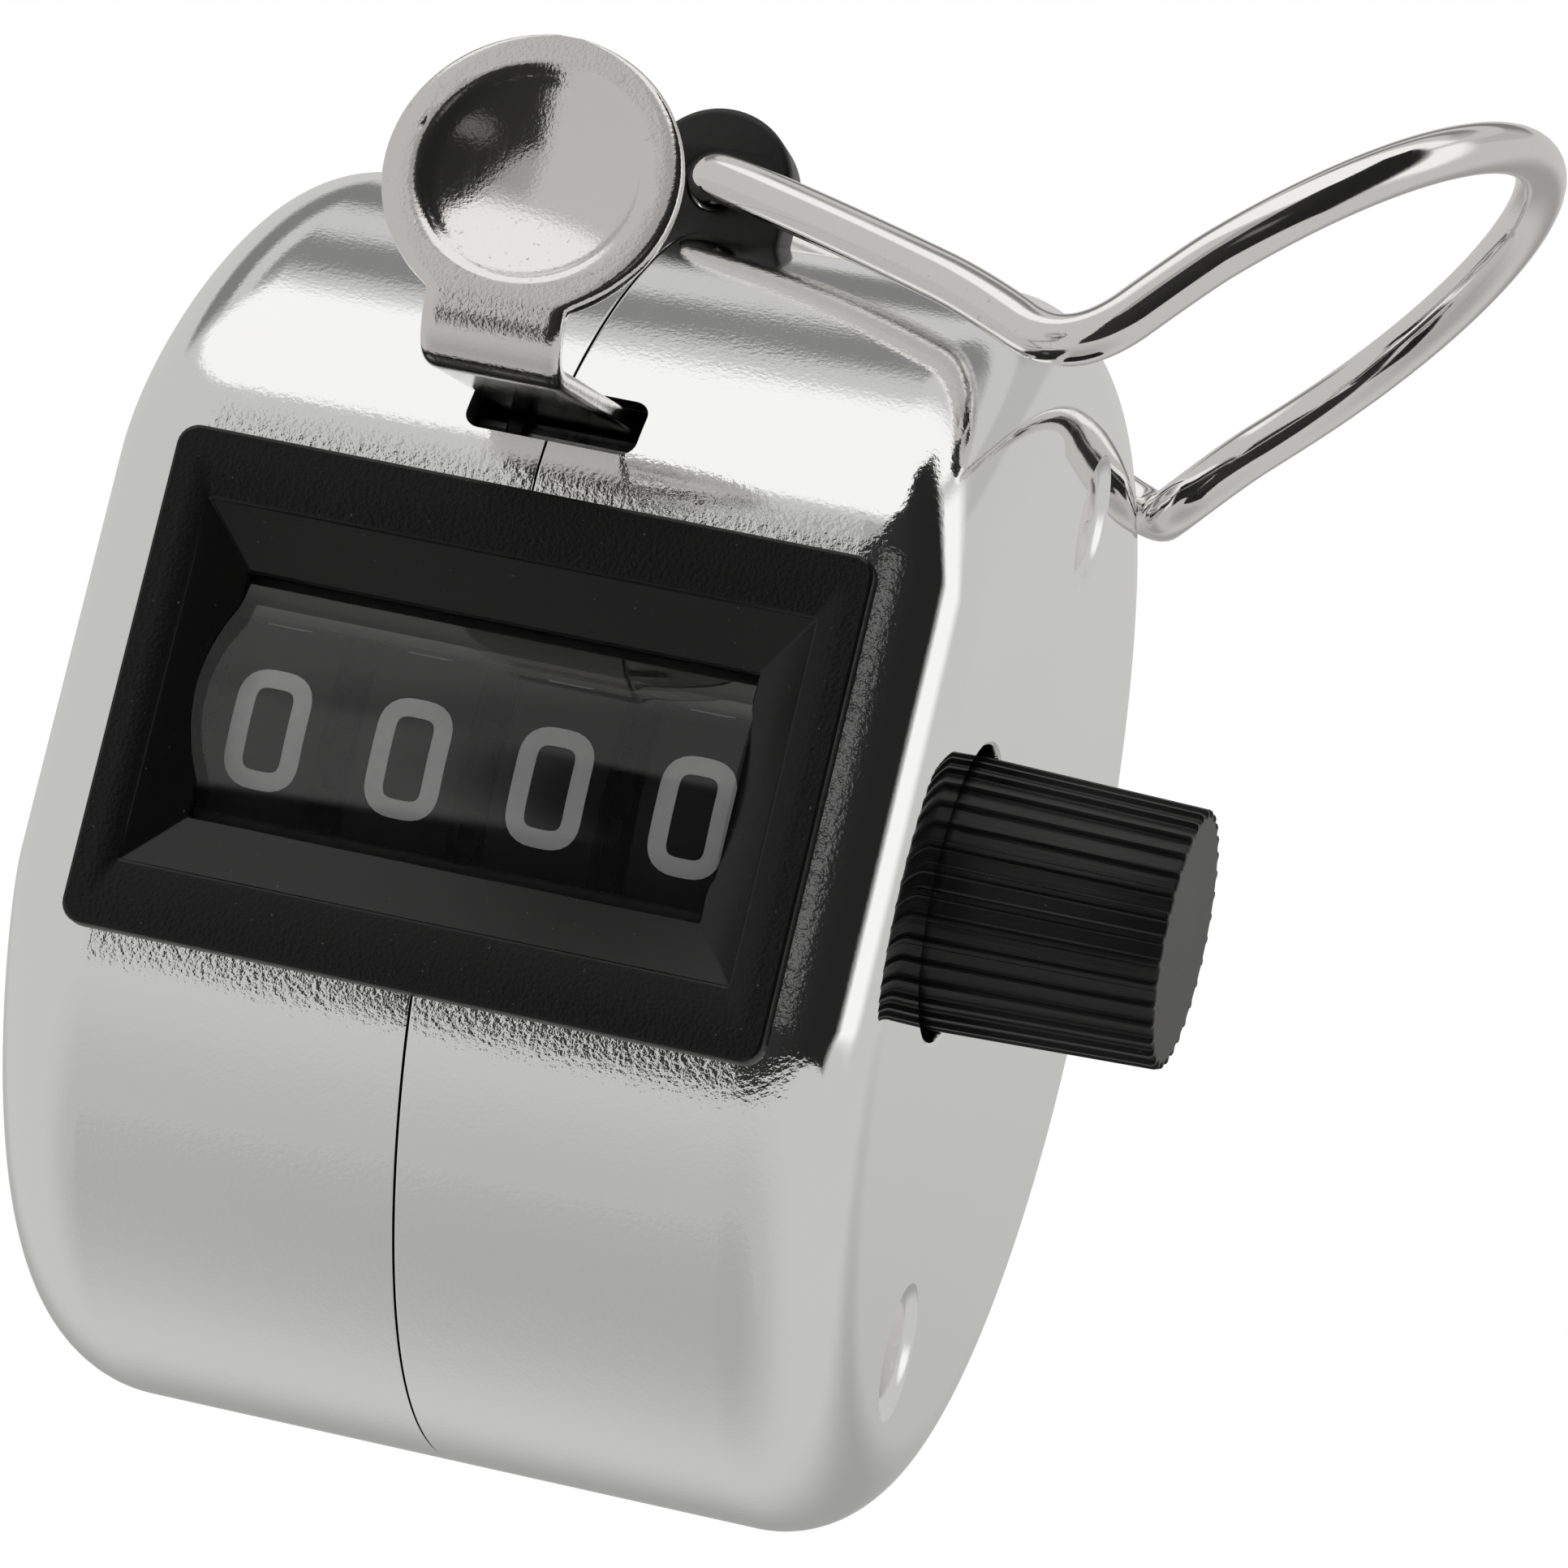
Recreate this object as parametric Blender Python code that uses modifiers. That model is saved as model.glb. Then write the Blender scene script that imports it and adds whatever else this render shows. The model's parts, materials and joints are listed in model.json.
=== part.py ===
"""Hand tally counter: chrome drum case, four number wheels, thumb lever, reset knob and finger ring.

Frame: the origin is where the number-wheel shaft's axis meets the flat left side face. +X runs along the
shaft to the reset knob, -Y is the way the window faces, +Z is up. Driving dimensions are in millimetres
and are drawn from the seam between the case halves; place_origin moves the finished pieces.
"""
import math

import bmesh
import bpy
from mathutils import Matrix, Vector
from mathutils.geometry import interpolate_bezier

MM = 0.001

# Case: a drum lying across the hand, flat at the window, both rims rounded
HALF_WIDTH = 16.5
RIM_RADIUS = 4.3
WALL = 1.2
SEAM_HALF_GAP = 0.05
FRONT_Y = -12.1
FLAT_TOP_Z = 9.9
FLAT_BOTTOM_Z = -7.8
TOP_POINT = (8.2, 24.2)
REAR_POINT = (33.5, -1.5)
BOTTOM_POINT = (10.0, -23.8)
POINTS_PER_SPAN = 12
RUNNING_GAP = 0.08
PIECE_GAP = 0.3

# Window
BEZEL_FRONT_Y = -12.9
BEZEL_WIDTH = 26.5
BEZEL_HEIGHT = 18.85
BEZEL_CORNER = 0.8
BEZEL_FLANGE = 0.5
BEVEL_WIDTH = 23.1
BEVEL_HEIGHT = 13.7
WINDOW_WIDTH = 19.4
WINDOW_HEIGHT = 9.3
WINDOW_DEPTH = 1.25
PLUG_WIDTH = 23.8
PLUG_HEIGHT = 15.4
PLUG_REAR_Y = -9.5
LENS_INNER_RADIUS = 11.3
LENS_OUTER_RADIUS = 12.1
LENS_X = (-10.7, 9.8)
LENS_HALF_ANGLE = 31.0

# Number wheels and their carry gears
WHEEL_PITCH = 5.4
WHEEL_NAMES = ("thousands", "hundreds", "tens", "units")
DRUM_RADIUS = 9.9
DRUM_WIDTH = 4.1
RIM_INNER_RADIUS = 8.6
CORE_RADIUS = 6.7
FLANK_STEP = 0.5
WHEEL_STEPS = 24
SHAFT_RADIUS = 1.5
GEAR_TEETH = 20
PINION_TEETH = 8
GEAR_CENTRES = 11.0
ADDENDUM = 0.36
DEDENDUM = 0.55
PINION_WIDTH = 0.9
PINION_SHAFT_RADIUS = 0.7
PINION_SHAFT_ANGLE = -35.0

# Ratchet and pawls, in the space right of the units wheel
RATCHET_TEETH = 10
RATCHET_RADIUS = 2.75
RATCHET_ROOT = 2.25
RATCHET_X = (10.45, 11.25)
LEVER_ARM_X = (11.5, 12.2)
LEVER_PIVOT = (-7.7, 12.3)
DRIVE_PAWL_PIVOT = (-5.5, 1.5)
DRIVE_PAWL_NOSE = (-2.05, 2.55)
BACKSTOP_PIVOT = (6.0, 3.4)
BACKSTOP_NOSE = (2.15, 2.35)
PIN_RADIUS = 0.6

# Frame inside the case
PLATE_X = 12.75
PLATE_THICKNESS = 0.8
REAR_POST = (11.2, 4.0)
BOTTOM_POST = (-4.0, -11.6)
POST_RADIUS = 1.2

# Thumb lever
STRIP_WIDTH = 4.9
STRIP_THICKNESS = 0.8
STRIP_SLOPE = math.radians(6.0)
STRIP_SLOT_POINT = (-10.7, 13.05)
STRIP_REAR_Y = -5.9
STRIP_BEND_Y = -21.3
STRIP_BEND_RADIUS = 1.0
NECK_HEADING = 118.0
NECK_LENGTH = 4.55
PAD_RADIUS = 5.4
PAD_THICKNESS = 0.84
PAD_CENTRE = (-22.96, 18.7)
PAD_TILT = math.radians(9.3)
DISH_RADIUS = 4.1
DISH_DEPTH = 0.45
SLOT_WIDTH = 6.5
SLOT_Z = (11.5, 13.8)

# Reset knob
KNOB_BASE_RADIUS = 5.25
KNOB_END_RADIUS = 4.9
KNOB_INNER_X = 14.1
KNOB_OUTER_X = 25.1
KNOB_RIBS = 34
KNOB_RIB_HEIGHT = 0.35
KNOB_HOLE_RADIUS = 5.6

# Finger ring and its lug
LUG_FRONT_Y = 4.1
LUG_THICKNESS = 2.4
LUG_RADIUS = 3.0
RING_HINGE_Z = 25.65
LUG_HOLE_RADIUS = 1.45
RING_WIRE_RADIUS = 0.97
RING_BEND_X = 17.47
RING_BEND_DROP = 6.1
RING_HALF_WIDTH = 13.2
RING_RISE_ANGLE = math.radians(44.0)
RING_OUTER_LENGTH = 18.5
RING_REAR_ARM = ((17.3, 14.2, -6.1), (16.9, 16.2, -5.9), (15.4, 17.6, -5.4), (13.2, 17.6, -4.6),
                 (10.8, 15.2, -2.4), (8.0, 11.6, -1.0), (5.0, 8.0, -0.3))

# Case screws
CASE_SCREW_Y = 8.7
CASE_SCREW_Z = 16.3
POCKET_RADIUS = 2.3
SCREW_HEAD_X = (15.6, 16.2)
SCREW_HEAD_RADIUS = 2.0
SCREW_SHANK_RADIUS = 1.1
BOSS_RADIUS = 3.2

# Local Z of a turned or extruded shape along +X (its local X is +Y and its local Y is +Z)
ALONG_X = Matrix(((0, 0, 1, 0), (1, 0, 0, 0), (0, 1, 0, 0), (0, 0, 0, 1)))
# Local Z of an extruded shape along -Y (its local X is +X and its local Y is +Z)
ALONG_MINUS_Y = Matrix(((1, 0, 0, 0), (0, 0, -1, 0), (0, 1, 0, 0), (0, 0, 0, 1)))


# ---------------------------------------------------------------- scene and materials

def clear_scene():
    for obj in list(bpy.data.objects):
        bpy.data.objects.remove(obj, do_unlink=True)


def make_collection(name):
    collection = bpy.data.collections.new(name)
    bpy.context.scene.collection.children.link(collection)
    return collection


def make_material(name, colour, roughness, metallic, alpha=1.0):
    material = bpy.data.materials.new(name)
    material.use_nodes = True
    shader = material.node_tree.nodes["Principled BSDF"]
    shader.inputs["Base Color"].default_value = (*colour, 1.0)
    shader.inputs["Roughness"].default_value = roughness
    shader.inputs["Metallic"].default_value = metallic
    shader.inputs["Alpha"].default_value = alpha
    return material


# ---------------------------------------------------------------- shape helpers

def add_object(name, mesh, material=None):
    """Put a mesh in the counter's collection, or among the cutters when it has no material."""
    obj = bpy.data.objects.new(name, mesh)
    if material is None:
        CUTTERS.objects.link(obj)
        obj.hide_render = True
        obj.display_type = "WIRE"
    else:
        COUNTER.objects.link(obj)
        mesh.materials.clear()
        mesh.materials.append(material)
    return obj


def smooth(obj, angle=35.0):
    obj.data.shade_smooth()
    obj.data.set_sharp_from_angle(angle=math.radians(angle))
    return obj


def set_origin(obj, point_mm):
    """Move the object's origin to a point, keeping its shape in place."""
    point = Vector(point_mm) * MM
    obj.data.transform(Matrix.Translation(-point))
    obj.location = point
    return obj


def box(name, low, high, material=None):
    shape = bmesh.new()
    bmesh.ops.create_cube(shape, size=1.0)
    size = Vector(high) - Vector(low)
    middle = (Vector(high) + Vector(low)) / 2
    bmesh.ops.scale(shape, vec=size * MM, verts=shape.verts)
    bmesh.ops.translate(shape, vec=middle * MM, verts=shape.verts)
    mesh = bpy.data.meshes.new(name)
    shape.to_mesh(mesh)
    shape.free()
    return add_object(name, mesh, material)


def rod(name, x_range, centre, radius, material=None, segments=20):
    """A plain cylinder along X through the point (y, z)."""
    shape = bmesh.new()
    length = x_range[1] - x_range[0]
    bmesh.ops.create_cone(shape, cap_ends=True, segments=segments, radius1=radius * MM,
                          radius2=radius * MM, depth=length * MM)
    bmesh.ops.transform(shape, matrix=ALONG_X, verts=shape.verts)
    place = Vector(((x_range[0] + x_range[1]) / 2, centre[0], centre[1])) * MM
    bmesh.ops.translate(shape, vec=place, verts=shape.verts)
    mesh = bpy.data.meshes.new(name)
    shape.to_mesh(mesh)
    shape.free()
    return add_object(name, mesh, material)


def turned(name, profile, steps, material=None, closed=True):
    """Turn a profile of (x, radius) points about the X axis; its outer side runs from +X to -X."""
    mesh = bpy.data.meshes.new(name)
    shape = bmesh.new()
    corners = [shape.verts.new((radius * MM, 0, along * MM)) for along, radius in profile]
    pairs = list(zip(corners, corners[1:]))
    if closed:
        pairs.append((corners[-1], corners[0]))
    for first, second in pairs:
        shape.edges.new((first, second))
    shape.to_mesh(mesh)
    shape.free()
    obj = add_object(name, mesh, material)
    obj.matrix_world = ALONG_X
    screw = obj.modifiers.new("turn", "SCREW")
    screw.angle = math.tau
    screw.steps = steps
    screw.render_steps = steps
    screw.use_merge_vertices = True
    screw.merge_threshold = 0.00001
    screw.use_smooth_shade = True
    return obj


def curve_to_mesh(curve_object, name, material):
    """Swap a curve object for its welded mesh, which can be cut and joined."""
    bpy.context.view_layer.update()
    graph = bpy.context.evaluated_depsgraph_get()
    mesh = bpy.data.meshes.new_from_object(curve_object.evaluated_get(graph))
    matrix = curve_object.matrix_world.copy()
    bpy.data.objects.remove(curve_object, do_unlink=True)
    mesh.transform(matrix)
    shape = bmesh.new()
    shape.from_mesh(mesh)
    bmesh.ops.remove_doubles(shape, verts=shape.verts, dist=0.000001)
    bmesh.ops.recalc_face_normals(shape, faces=shape.faces)
    shape.to_mesh(mesh)
    shape.free()
    mesh.name = name
    return add_object(name, mesh, material)


def extruded(name, loops, span, material=None, frame=ALONG_X):
    """Fill flat outlines (the first outside, the rest holes) and give them thickness over a span."""
    curve = bpy.data.curves.new(name, "CURVE")
    curve.dimensions = "2D"
    curve.fill_mode = "BOTH"
    curve.extrude = abs(span[1] - span[0]) / 2 * MM
    for loop in loops:
        spline = curve.splines.new("POLY")
        spline.points.add(len(loop) - 1)
        for point, (across, up) in zip(spline.points, loop):
            point.co = (across * MM, up * MM, 0, 1)
        spline.use_cyclic_u = True
    obj = bpy.data.objects.new(name, curve)
    bpy.context.scene.collection.objects.link(obj)
    middle = (span[0] + span[1]) / 2 * MM
    obj.matrix_world = frame @ Matrix.Translation((0, 0, middle))
    return curve_to_mesh(obj, name, material)


def wire(name, points_mm, radius, material, cyclic=False):
    """A round wire through the points, as a curve with a bevel."""
    curve = bpy.data.curves.new(name, "CURVE")
    curve.dimensions = "3D"
    curve.bevel_depth = radius * MM
    curve.bevel_resolution = 2
    curve.use_fill_caps = True
    spline = curve.splines.new("POLY")
    spline.points.add(len(points_mm) - 1)
    for point, place in zip(spline.points, points_mm):
        point.co = (*(Vector(place) * MM), 1)
    spline.use_cyclic_u = cyclic
    obj = bpy.data.objects.new(name, curve)
    bpy.context.scene.collection.objects.link(obj)
    return curve_to_mesh(obj, name, material)


def boolean(target, operation, *tools):
    for tool in tools:
        modifier = target.modifiers.new(f"{operation.lower()} {tool.name}", "BOOLEAN")
        modifier.operation = operation
        modifier.object = tool


def cut(target, *tools):
    boolean(target, "DIFFERENCE", *tools)


def join(target, *tools):
    boolean(target, "UNION", *tools)


def arc(centre, radius, start_deg, end_deg, count):
    """Points on an arc, both ends included."""
    points = []
    for index in range(count + 1):
        angle = math.radians(start_deg + (end_deg - start_deg) * index / count)
        points.append((centre[0] + radius * math.cos(angle), centre[1] + radius * math.sin(angle)))
    return points


def circle(centre, radius, count=20):
    return arc(centre, radius, 0, 360, count)[:-1]


def rounded_rectangle(width, height, radius, count=3):
    half_w, half_h = width / 2 - radius, height / 2 - radius
    corners = ((half_w, half_h, 0), (-half_w, half_h, 90), (-half_w, -half_h, 180), (half_w, -half_h, 270))
    points = []
    for across, up, start in corners:
        points += arc((across, up), radius, start, start + 90, count)
    return points


def hull(circles, count=16):
    """Convex outline around circles given as (centre, radius)."""
    points = sorted(point for centre, radius in circles for point in circle(centre, radius, count))

    def half(ordered):
        chain = []
        for point in ordered:
            while len(chain) > 1 and turn(chain[-2], chain[-1], point) <= 0:
                chain.pop()
            chain.append(point)
        return chain[:-1]

    return half(points) + half(points[::-1])


def turn(first, second, third):
    return ((second[0] - first[0]) * (third[1] - first[1])
            - (second[1] - first[1]) * (third[0] - first[0]))


def polar(radius, angle_deg):
    angle = math.radians(angle_deg)
    return (radius * math.cos(angle), radius * math.sin(angle))


# ---------------------------------------------------------------- case

def case_outline():
    """Side outline of the drum (y, z): front flat, then three round spans over the top and underneath."""
    top, rear, bottom = Vector(TOP_POINT), Vector(REAR_POINT), Vector(BOTTOM_POINT)
    flat_top = Vector((FRONT_Y, FLAT_TOP_Z))
    flat_bottom = Vector((FRONT_Y, FLAT_BOTTOM_Z))
    spans = (
        (flat_top, flat_top + Vector((0, 4.8)), top - Vector((9.4, 0)), top),
        (top, top + Vector((14.7, 0)), rear + Vector((0, 14.9)), rear),
        (rear, rear - Vector((0, 12.0)), bottom + Vector((12.7, 0)), bottom),
        (bottom, bottom - Vector((14.9, 0)), flat_bottom - Vector((0, 2.5)), flat_bottom),
    )
    outline = []
    for span in spans:
        outline += interpolate_bezier(*span, POINTS_PER_SPAN + 1)[:-1]
    outline.append(flat_bottom)
    return [(point[0], point[1]) for point in outline]


def case_shell(name, side):
    """One hollow half of the drum, open at the seam, with a rounded outer rim."""
    shape = bmesh.new()
    seam = [shape.verts.new((side * SEAM_HALF_GAP * MM, y * MM, z * MM)) for y, z in case_outline()]
    loop = [shape.edges.new((seam[index - 1], seam[index])) for index in range(len(seam))]
    wall = bmesh.ops.extrude_edge_only(shape, edges=loop)["geom"]
    outer = [item for item in wall if isinstance(item, bmesh.types.BMVert)]
    reach = side * (HALF_WIDTH - SEAM_HALF_GAP) * MM
    bmesh.ops.translate(shape, vec=(reach, 0, 0), verts=outer)
    rim = [edge for edge in shape.edges if all(vert in set(outer) for vert in edge.verts)]
    bmesh.ops.contextual_create(shape, geom=rim)
    bmesh.ops.recalc_face_normals(shape, faces=shape.faces)
    side_face = max(shape.faces, key=lambda face: len(face.verts))
    if side_face.normal.x * side < 0:
        bmesh.ops.reverse_faces(shape, faces=shape.faces)
    mesh = bpy.data.meshes.new(name)
    shape.to_mesh(mesh)
    shape.free()
    shell = add_object(name, mesh, CHROME)
    bevel = shell.modifiers.new("rim", "BEVEL")
    bevel.width = RIM_RADIUS * MM
    bevel.segments = 4
    bevel.limit_method = "ANGLE"
    bevel.angle_limit = math.radians(60)
    solidify = shell.modifiers.new("wall", "SOLIDIFY")
    solidify.thickness = WALL * MM
    solidify.offset = -1
    solidify.use_even_offset = True
    return shell


def case_openings():
    """Cutters that both halves share: window, lever slot and lug slot."""
    half_w, half_h = PLUG_WIDTH / 2 + PIECE_GAP, PLUG_HEIGHT / 2 + PIECE_GAP
    window = box("cut_window", (-half_w, -14, -half_h), (half_w, PLUG_REAR_Y + PIECE_GAP, half_h))
    lever = box("cut_lever_slot", (-SLOT_WIDTH / 2, -14, SLOT_Z[0]), (SLOT_WIDTH / 2, -8.9, SLOT_Z[1]))
    lug_half = LUG_RADIUS + PIECE_GAP
    lug_low = (-lug_half, LUG_FRONT_Y - PIECE_GAP, 22)
    lug_high = (lug_half, LUG_FRONT_Y + LUG_THICKNESS + PIECE_GAP, 26)
    return window, lever, box("cut_lug_slot", lug_low, lug_high)


def case_half(name, side, openings):
    shell = case_shell(name, side)
    for level in (1, -1):
        centre = (CASE_SCREW_Y, level * CASE_SCREW_Z)
        span = sorted((side * PIECE_GAP, side * (HALF_WIDTH - 0.6)))
        join(shell, rod(f"boss_{name}_{level}", span, centre, BOSS_RADIUS))
        if side > 0:
            hole = rod(f"bore_{name}_{level}", (-1, HALF_WIDTH), centre, SCREW_SHANK_RADIUS + PIECE_GAP)
            pocket = rod(f"pocket_{name}_{level}", (SCREW_HEAD_X[0] - PIECE_GAP, HALF_WIDTH + 1), centre, POCKET_RADIUS, segments=24)
            cut(shell, hole, pocket)
        else:
            cut(shell, rod(f"bore_{name}_{level}", (-9, 1), centre, SCREW_SHANK_RADIUS + 0.1))
    cut(shell, *openings)
    if side > 0:
        cut(shell, rod("cut_knob_hole", (13, 18), (0, 0), KNOB_HOLE_RADIUS, segments=40))
    return shell


def case_screw(name, level):
    """Cross-head screw through the right half into the left half's boss."""
    centre = (CASE_SCREW_Y, level * CASE_SCREW_Z)
    head_x = SCREW_HEAD_X
    screw = turned(name, [(head_x[1], 0), (head_x[1], SCREW_HEAD_RADIUS - 0.35),
                          (head_x[1] - 0.35, SCREW_HEAD_RADIUS), (head_x[0], SCREW_HEAD_RADIUS),
                          (head_x[0], SCREW_SHANK_RADIUS), (-6.5, SCREW_SHANK_RADIUS),
                          (-7.5, 0.5), (-7.5, 0)], 20, STEEL, closed=False)
    screw.matrix_world = Matrix.Translation(Vector((0, *centre)) * MM) @ ALONG_X
    low, high = Vector((15.8, *centre)), Vector((16.5, *centre))
    across = box(f"recess_{name}_y", low - Vector((0, 1.2, 0.22)), high + Vector((0, 1.2, 0.22)))
    upright = box(f"recess_{name}_z", low - Vector((0, 0.22, 1.2)), high + Vector((0, 0.22, 1.2)))
    cut(screw, across, upright)
    return screw


# ---------------------------------------------------------------- window

def window_cutter():
    """Tapered hole through the bezel, wide at the front."""
    cutter = box("cut_bezel_window", (-0.5, -0.5, -0.5), (0.5, 0.5, 0.5))
    slope_w = (BEVEL_WIDTH - WINDOW_WIDTH) / 2 / WINDOW_DEPTH
    slope_h = (BEVEL_HEIGHT - WINDOW_HEIGHT) / 2 / WINDOW_DEPTH
    margin = 0.3
    for vertex in cutter.data.vertices:
        front = vertex.co.y < 0
        depth = -margin if front else WINDOW_DEPTH
        half_w = BEVEL_WIDTH / 2 - slope_w * depth
        half_h = BEVEL_HEIGHT / 2 - slope_h * depth
        vertex.co = Vector((math.copysign(half_w, vertex.co.x), BEZEL_FRONT_Y + depth,
                            math.copysign(half_h, vertex.co.z))) * MM
    return cutter


def bezel_frame():
    rim = rounded_rectangle(BEZEL_WIDTH, BEZEL_HEIGHT, BEZEL_CORNER)
    front = -BEZEL_FRONT_Y
    bezel = extruded("bezel_frame", [rim], (front - BEZEL_FLANGE, front), BLACK, ALONG_MINUS_Y)
    plug_low = (-PLUG_WIDTH / 2, BEZEL_FRONT_Y + BEZEL_FLANGE / 2, -PLUG_HEIGHT / 2)
    join(bezel, box("bezel_plug", plug_low, (PLUG_WIDTH / 2, PLUG_REAR_Y, PLUG_HEIGHT / 2)))
    half_w, half_h = WINDOW_WIDTH / 2, WINDOW_HEIGHT / 2
    opening = box("cut_bezel_opening", (-half_w, BEZEL_FRONT_Y + 1, -half_h), (half_w, -8, half_h))
    pocket = rod("cut_lens_pocket", (LENS_X[0] - PIECE_GAP, LENS_X[1] + PIECE_GAP), (0, 0),
                 LENS_OUTER_RADIUS + PIECE_GAP, segments=72)
    clearance = rod("cut_wheel_clearance", (0, 10.8), (0, 0), DRUM_RADIUS + 0.4, segments=72)
    cut(bezel, window_cutter(), opening, pocket, clearance)
    return bezel


def window_lens():
    start, end = 180 - LENS_HALF_ANGLE, 180 + LENS_HALF_ANGLE
    outline = arc((0, 0), LENS_OUTER_RADIUS, start, end, 14)
    outline += arc((0, 0), LENS_INNER_RADIUS, end, start, 14)
    return smooth(extruded("window_lens", [outline], LENS_X, CLEAR))


# ---------------------------------------------------------------- wheels, gears and shafts

def tooth_outline(teeth, root, tip, root_share, tip_share, phase_deg=0.0):
    """Outline of a straight-sided gear; a tooth's middle is at the phase angle."""
    pitch = 360 / teeth
    points = []
    for index in range(teeth):
        middle = phase_deg + index * pitch
        points.append(polar(root, middle - pitch * root_share / 2))
        points.append(polar(tip, middle - pitch * tip_share / 2))
        points.append(polar(tip, middle + pitch * tip_share / 2))
        points.append(polar(root, middle + pitch * root_share / 2))
    return points


def gear_radius():
    return GEAR_CENTRES * GEAR_TEETH / (GEAR_TEETH + PINION_TEETH)


def number_wheel(name, order, x):
    """Hollow-sided number wheel; the recess on its left holds its zeroing pawl."""
    half, flank = DRUM_WIDTH / 2, DRUM_WIDTH / 2 + FLANK_STEP
    bore = SHAFT_RADIUS + 0.1
    profile = [(half, bore), (half, CORE_RADIUS), (0.6, CORE_RADIUS), (0.6, RIM_INNER_RADIUS),
               (half, RIM_INNER_RADIUS), (half, DRUM_RADIUS), (-half, DRUM_RADIUS),
               (-half, RIM_INNER_RADIUS), (-0.6, RIM_INNER_RADIUS), (-0.6, CORE_RADIUS),
               (-flank, CORE_RADIUS), (-flank, 6.1), (-0.4, 6.1), (-0.4, bore)]
    wheel = turned(name, profile, WHEEL_STEPS, WHEEL_BLACK)
    wheel.matrix_world = Matrix.Translation((x * MM, 0, 0)) @ ALONG_X
    if order != "units":
        radius = gear_radius()
        phase = PINION_SHAFT_ANGLE + 180 / GEAR_TEETH
        teeth = tooth_outline(GEAR_TEETH, radius - DEDENDUM, radius + ADDENDUM, 0.6, 0.3, phase)
        ring = [teeth, circle((0, 0), 5.0, WHEEL_STEPS)]
        join(wheel, extruded(f"gear_{name}", ring, (x + half - 0.5, x + flank)))
    return wheel


def zero_pawl(name, x):
    """Curved finger in the wheel's recess; its nose rests on the shaft and drops into the key groove."""
    pivot = polar(4.7, 60)
    finger = arc((0, 0), 5.4, 62, 140, 6) + [polar(1.9, 152), polar(2.4, 128)] + arc((0, 0), 4.1, 122, 62, 4)
    pawl = extruded(name, [finger], (x - 1.9, x - 0.8), BRASS)
    join(pawl, rod(f"hub_{name}", (x - 1.95, x - 0.45), pivot, 0.85, segments=12))
    return pawl


def transfer_pinion(name, x):
    radius = GEAR_CENTRES * PINION_TEETH / (GEAR_TEETH + PINION_TEETH)
    centre = polar(GEAR_CENTRES, PINION_SHAFT_ANGLE)
    facing = PINION_SHAFT_ANGLE + 180
    local = tooth_outline(PINION_TEETH, radius - DEDENDUM, radius + ADDENDUM, 0.55, 0.22, facing)
    outline = [(centre[0] + y, centre[1] + z) for y, z in local]
    hole = circle(centre, PINION_SHAFT_RADIUS + 0.1, 16)
    span = (x - PINION_WIDTH / 2, x + PINION_WIDTH / 2)
    return set_origin(extruded(name, [outline, hole], span, BRASS), (x, *centre))


def reset_shaft():
    """Shaft through all the wheels, with a key groove for the zeroing pawls."""
    shaft = rod("reset_shaft", (-14.8, 21.0), (0, 0), SHAFT_RADIUS, STEEL, segments=24)
    cut(shaft, box("cut_key_groove", (-11.5, -0.45, 1.0), (10.3, 0.45, 2.0)))
    return shaft


def knob_outline(radius):
    return tooth_outline(KNOB_RIBS, radius - KNOB_RIB_HEIGHT, radius, 0.7, 0.45)


def reset_knob():
    """Ribbed knob with a slight taper, a small end chamfer and a blind hole for the shaft."""
    knob = extruded("reset_knob", [knob_outline(KNOB_BASE_RADIUS)], (KNOB_INNER_X, KNOB_OUTER_X), BLACK)
    for vertex in knob.data.vertices:
        along = (vertex.co.x / MM - KNOB_INNER_X) / (KNOB_OUTER_X - KNOB_INNER_X)
        scale = 1 + (KNOB_END_RADIUS / KNOB_BASE_RADIUS - 1) * along
        vertex.co.y *= scale
        vertex.co.z *= scale
    cut(knob, rod("cut_knob_bore", (13, 21.3), (0, 0), SHAFT_RADIUS + RUNNING_GAP, segments=24))
    return smooth(knob, 25)


def shaft_clip():
    """Open retaining clip on the shaft's left end, outside the left frame plate."""
    outline = arc((0, 0), 2.7, -50, 230, 16) + arc((0, 0), SHAFT_RADIUS + 0.1, 230, -50, 16)
    return extruded("shaft_clip", [outline], (-14.25, -13.8), STEEL)


def knob_washer():
    loops = [circle((0, 0), 3.2, 24), circle((0, 0), SHAFT_RADIUS + 0.1, 24)]
    return extruded("knob_washer", loops, (13.65, 13.95), BRASS)


def units_ratchet():
    """Ten saw teeth beside the units wheel."""
    pitch = 360 / RATCHET_TEETH
    teeth = []
    for index in range(RATCHET_TEETH):
        start = 90 + index * pitch
        teeth += [polar(RATCHET_ROOT, start), polar(RATCHET_RADIUS, start + 2), polar(2.5, start + pitch / 2)]
    hole = circle((0, 0), SHAFT_RADIUS + 0.1, 24)
    ratchet = extruded("units_ratchet", [teeth, hole], RATCHET_X, STEEL)
    return set_origin(ratchet, (RATCHET_X[0], 0, 0))


# ---------------------------------------------------------------- frame

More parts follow.
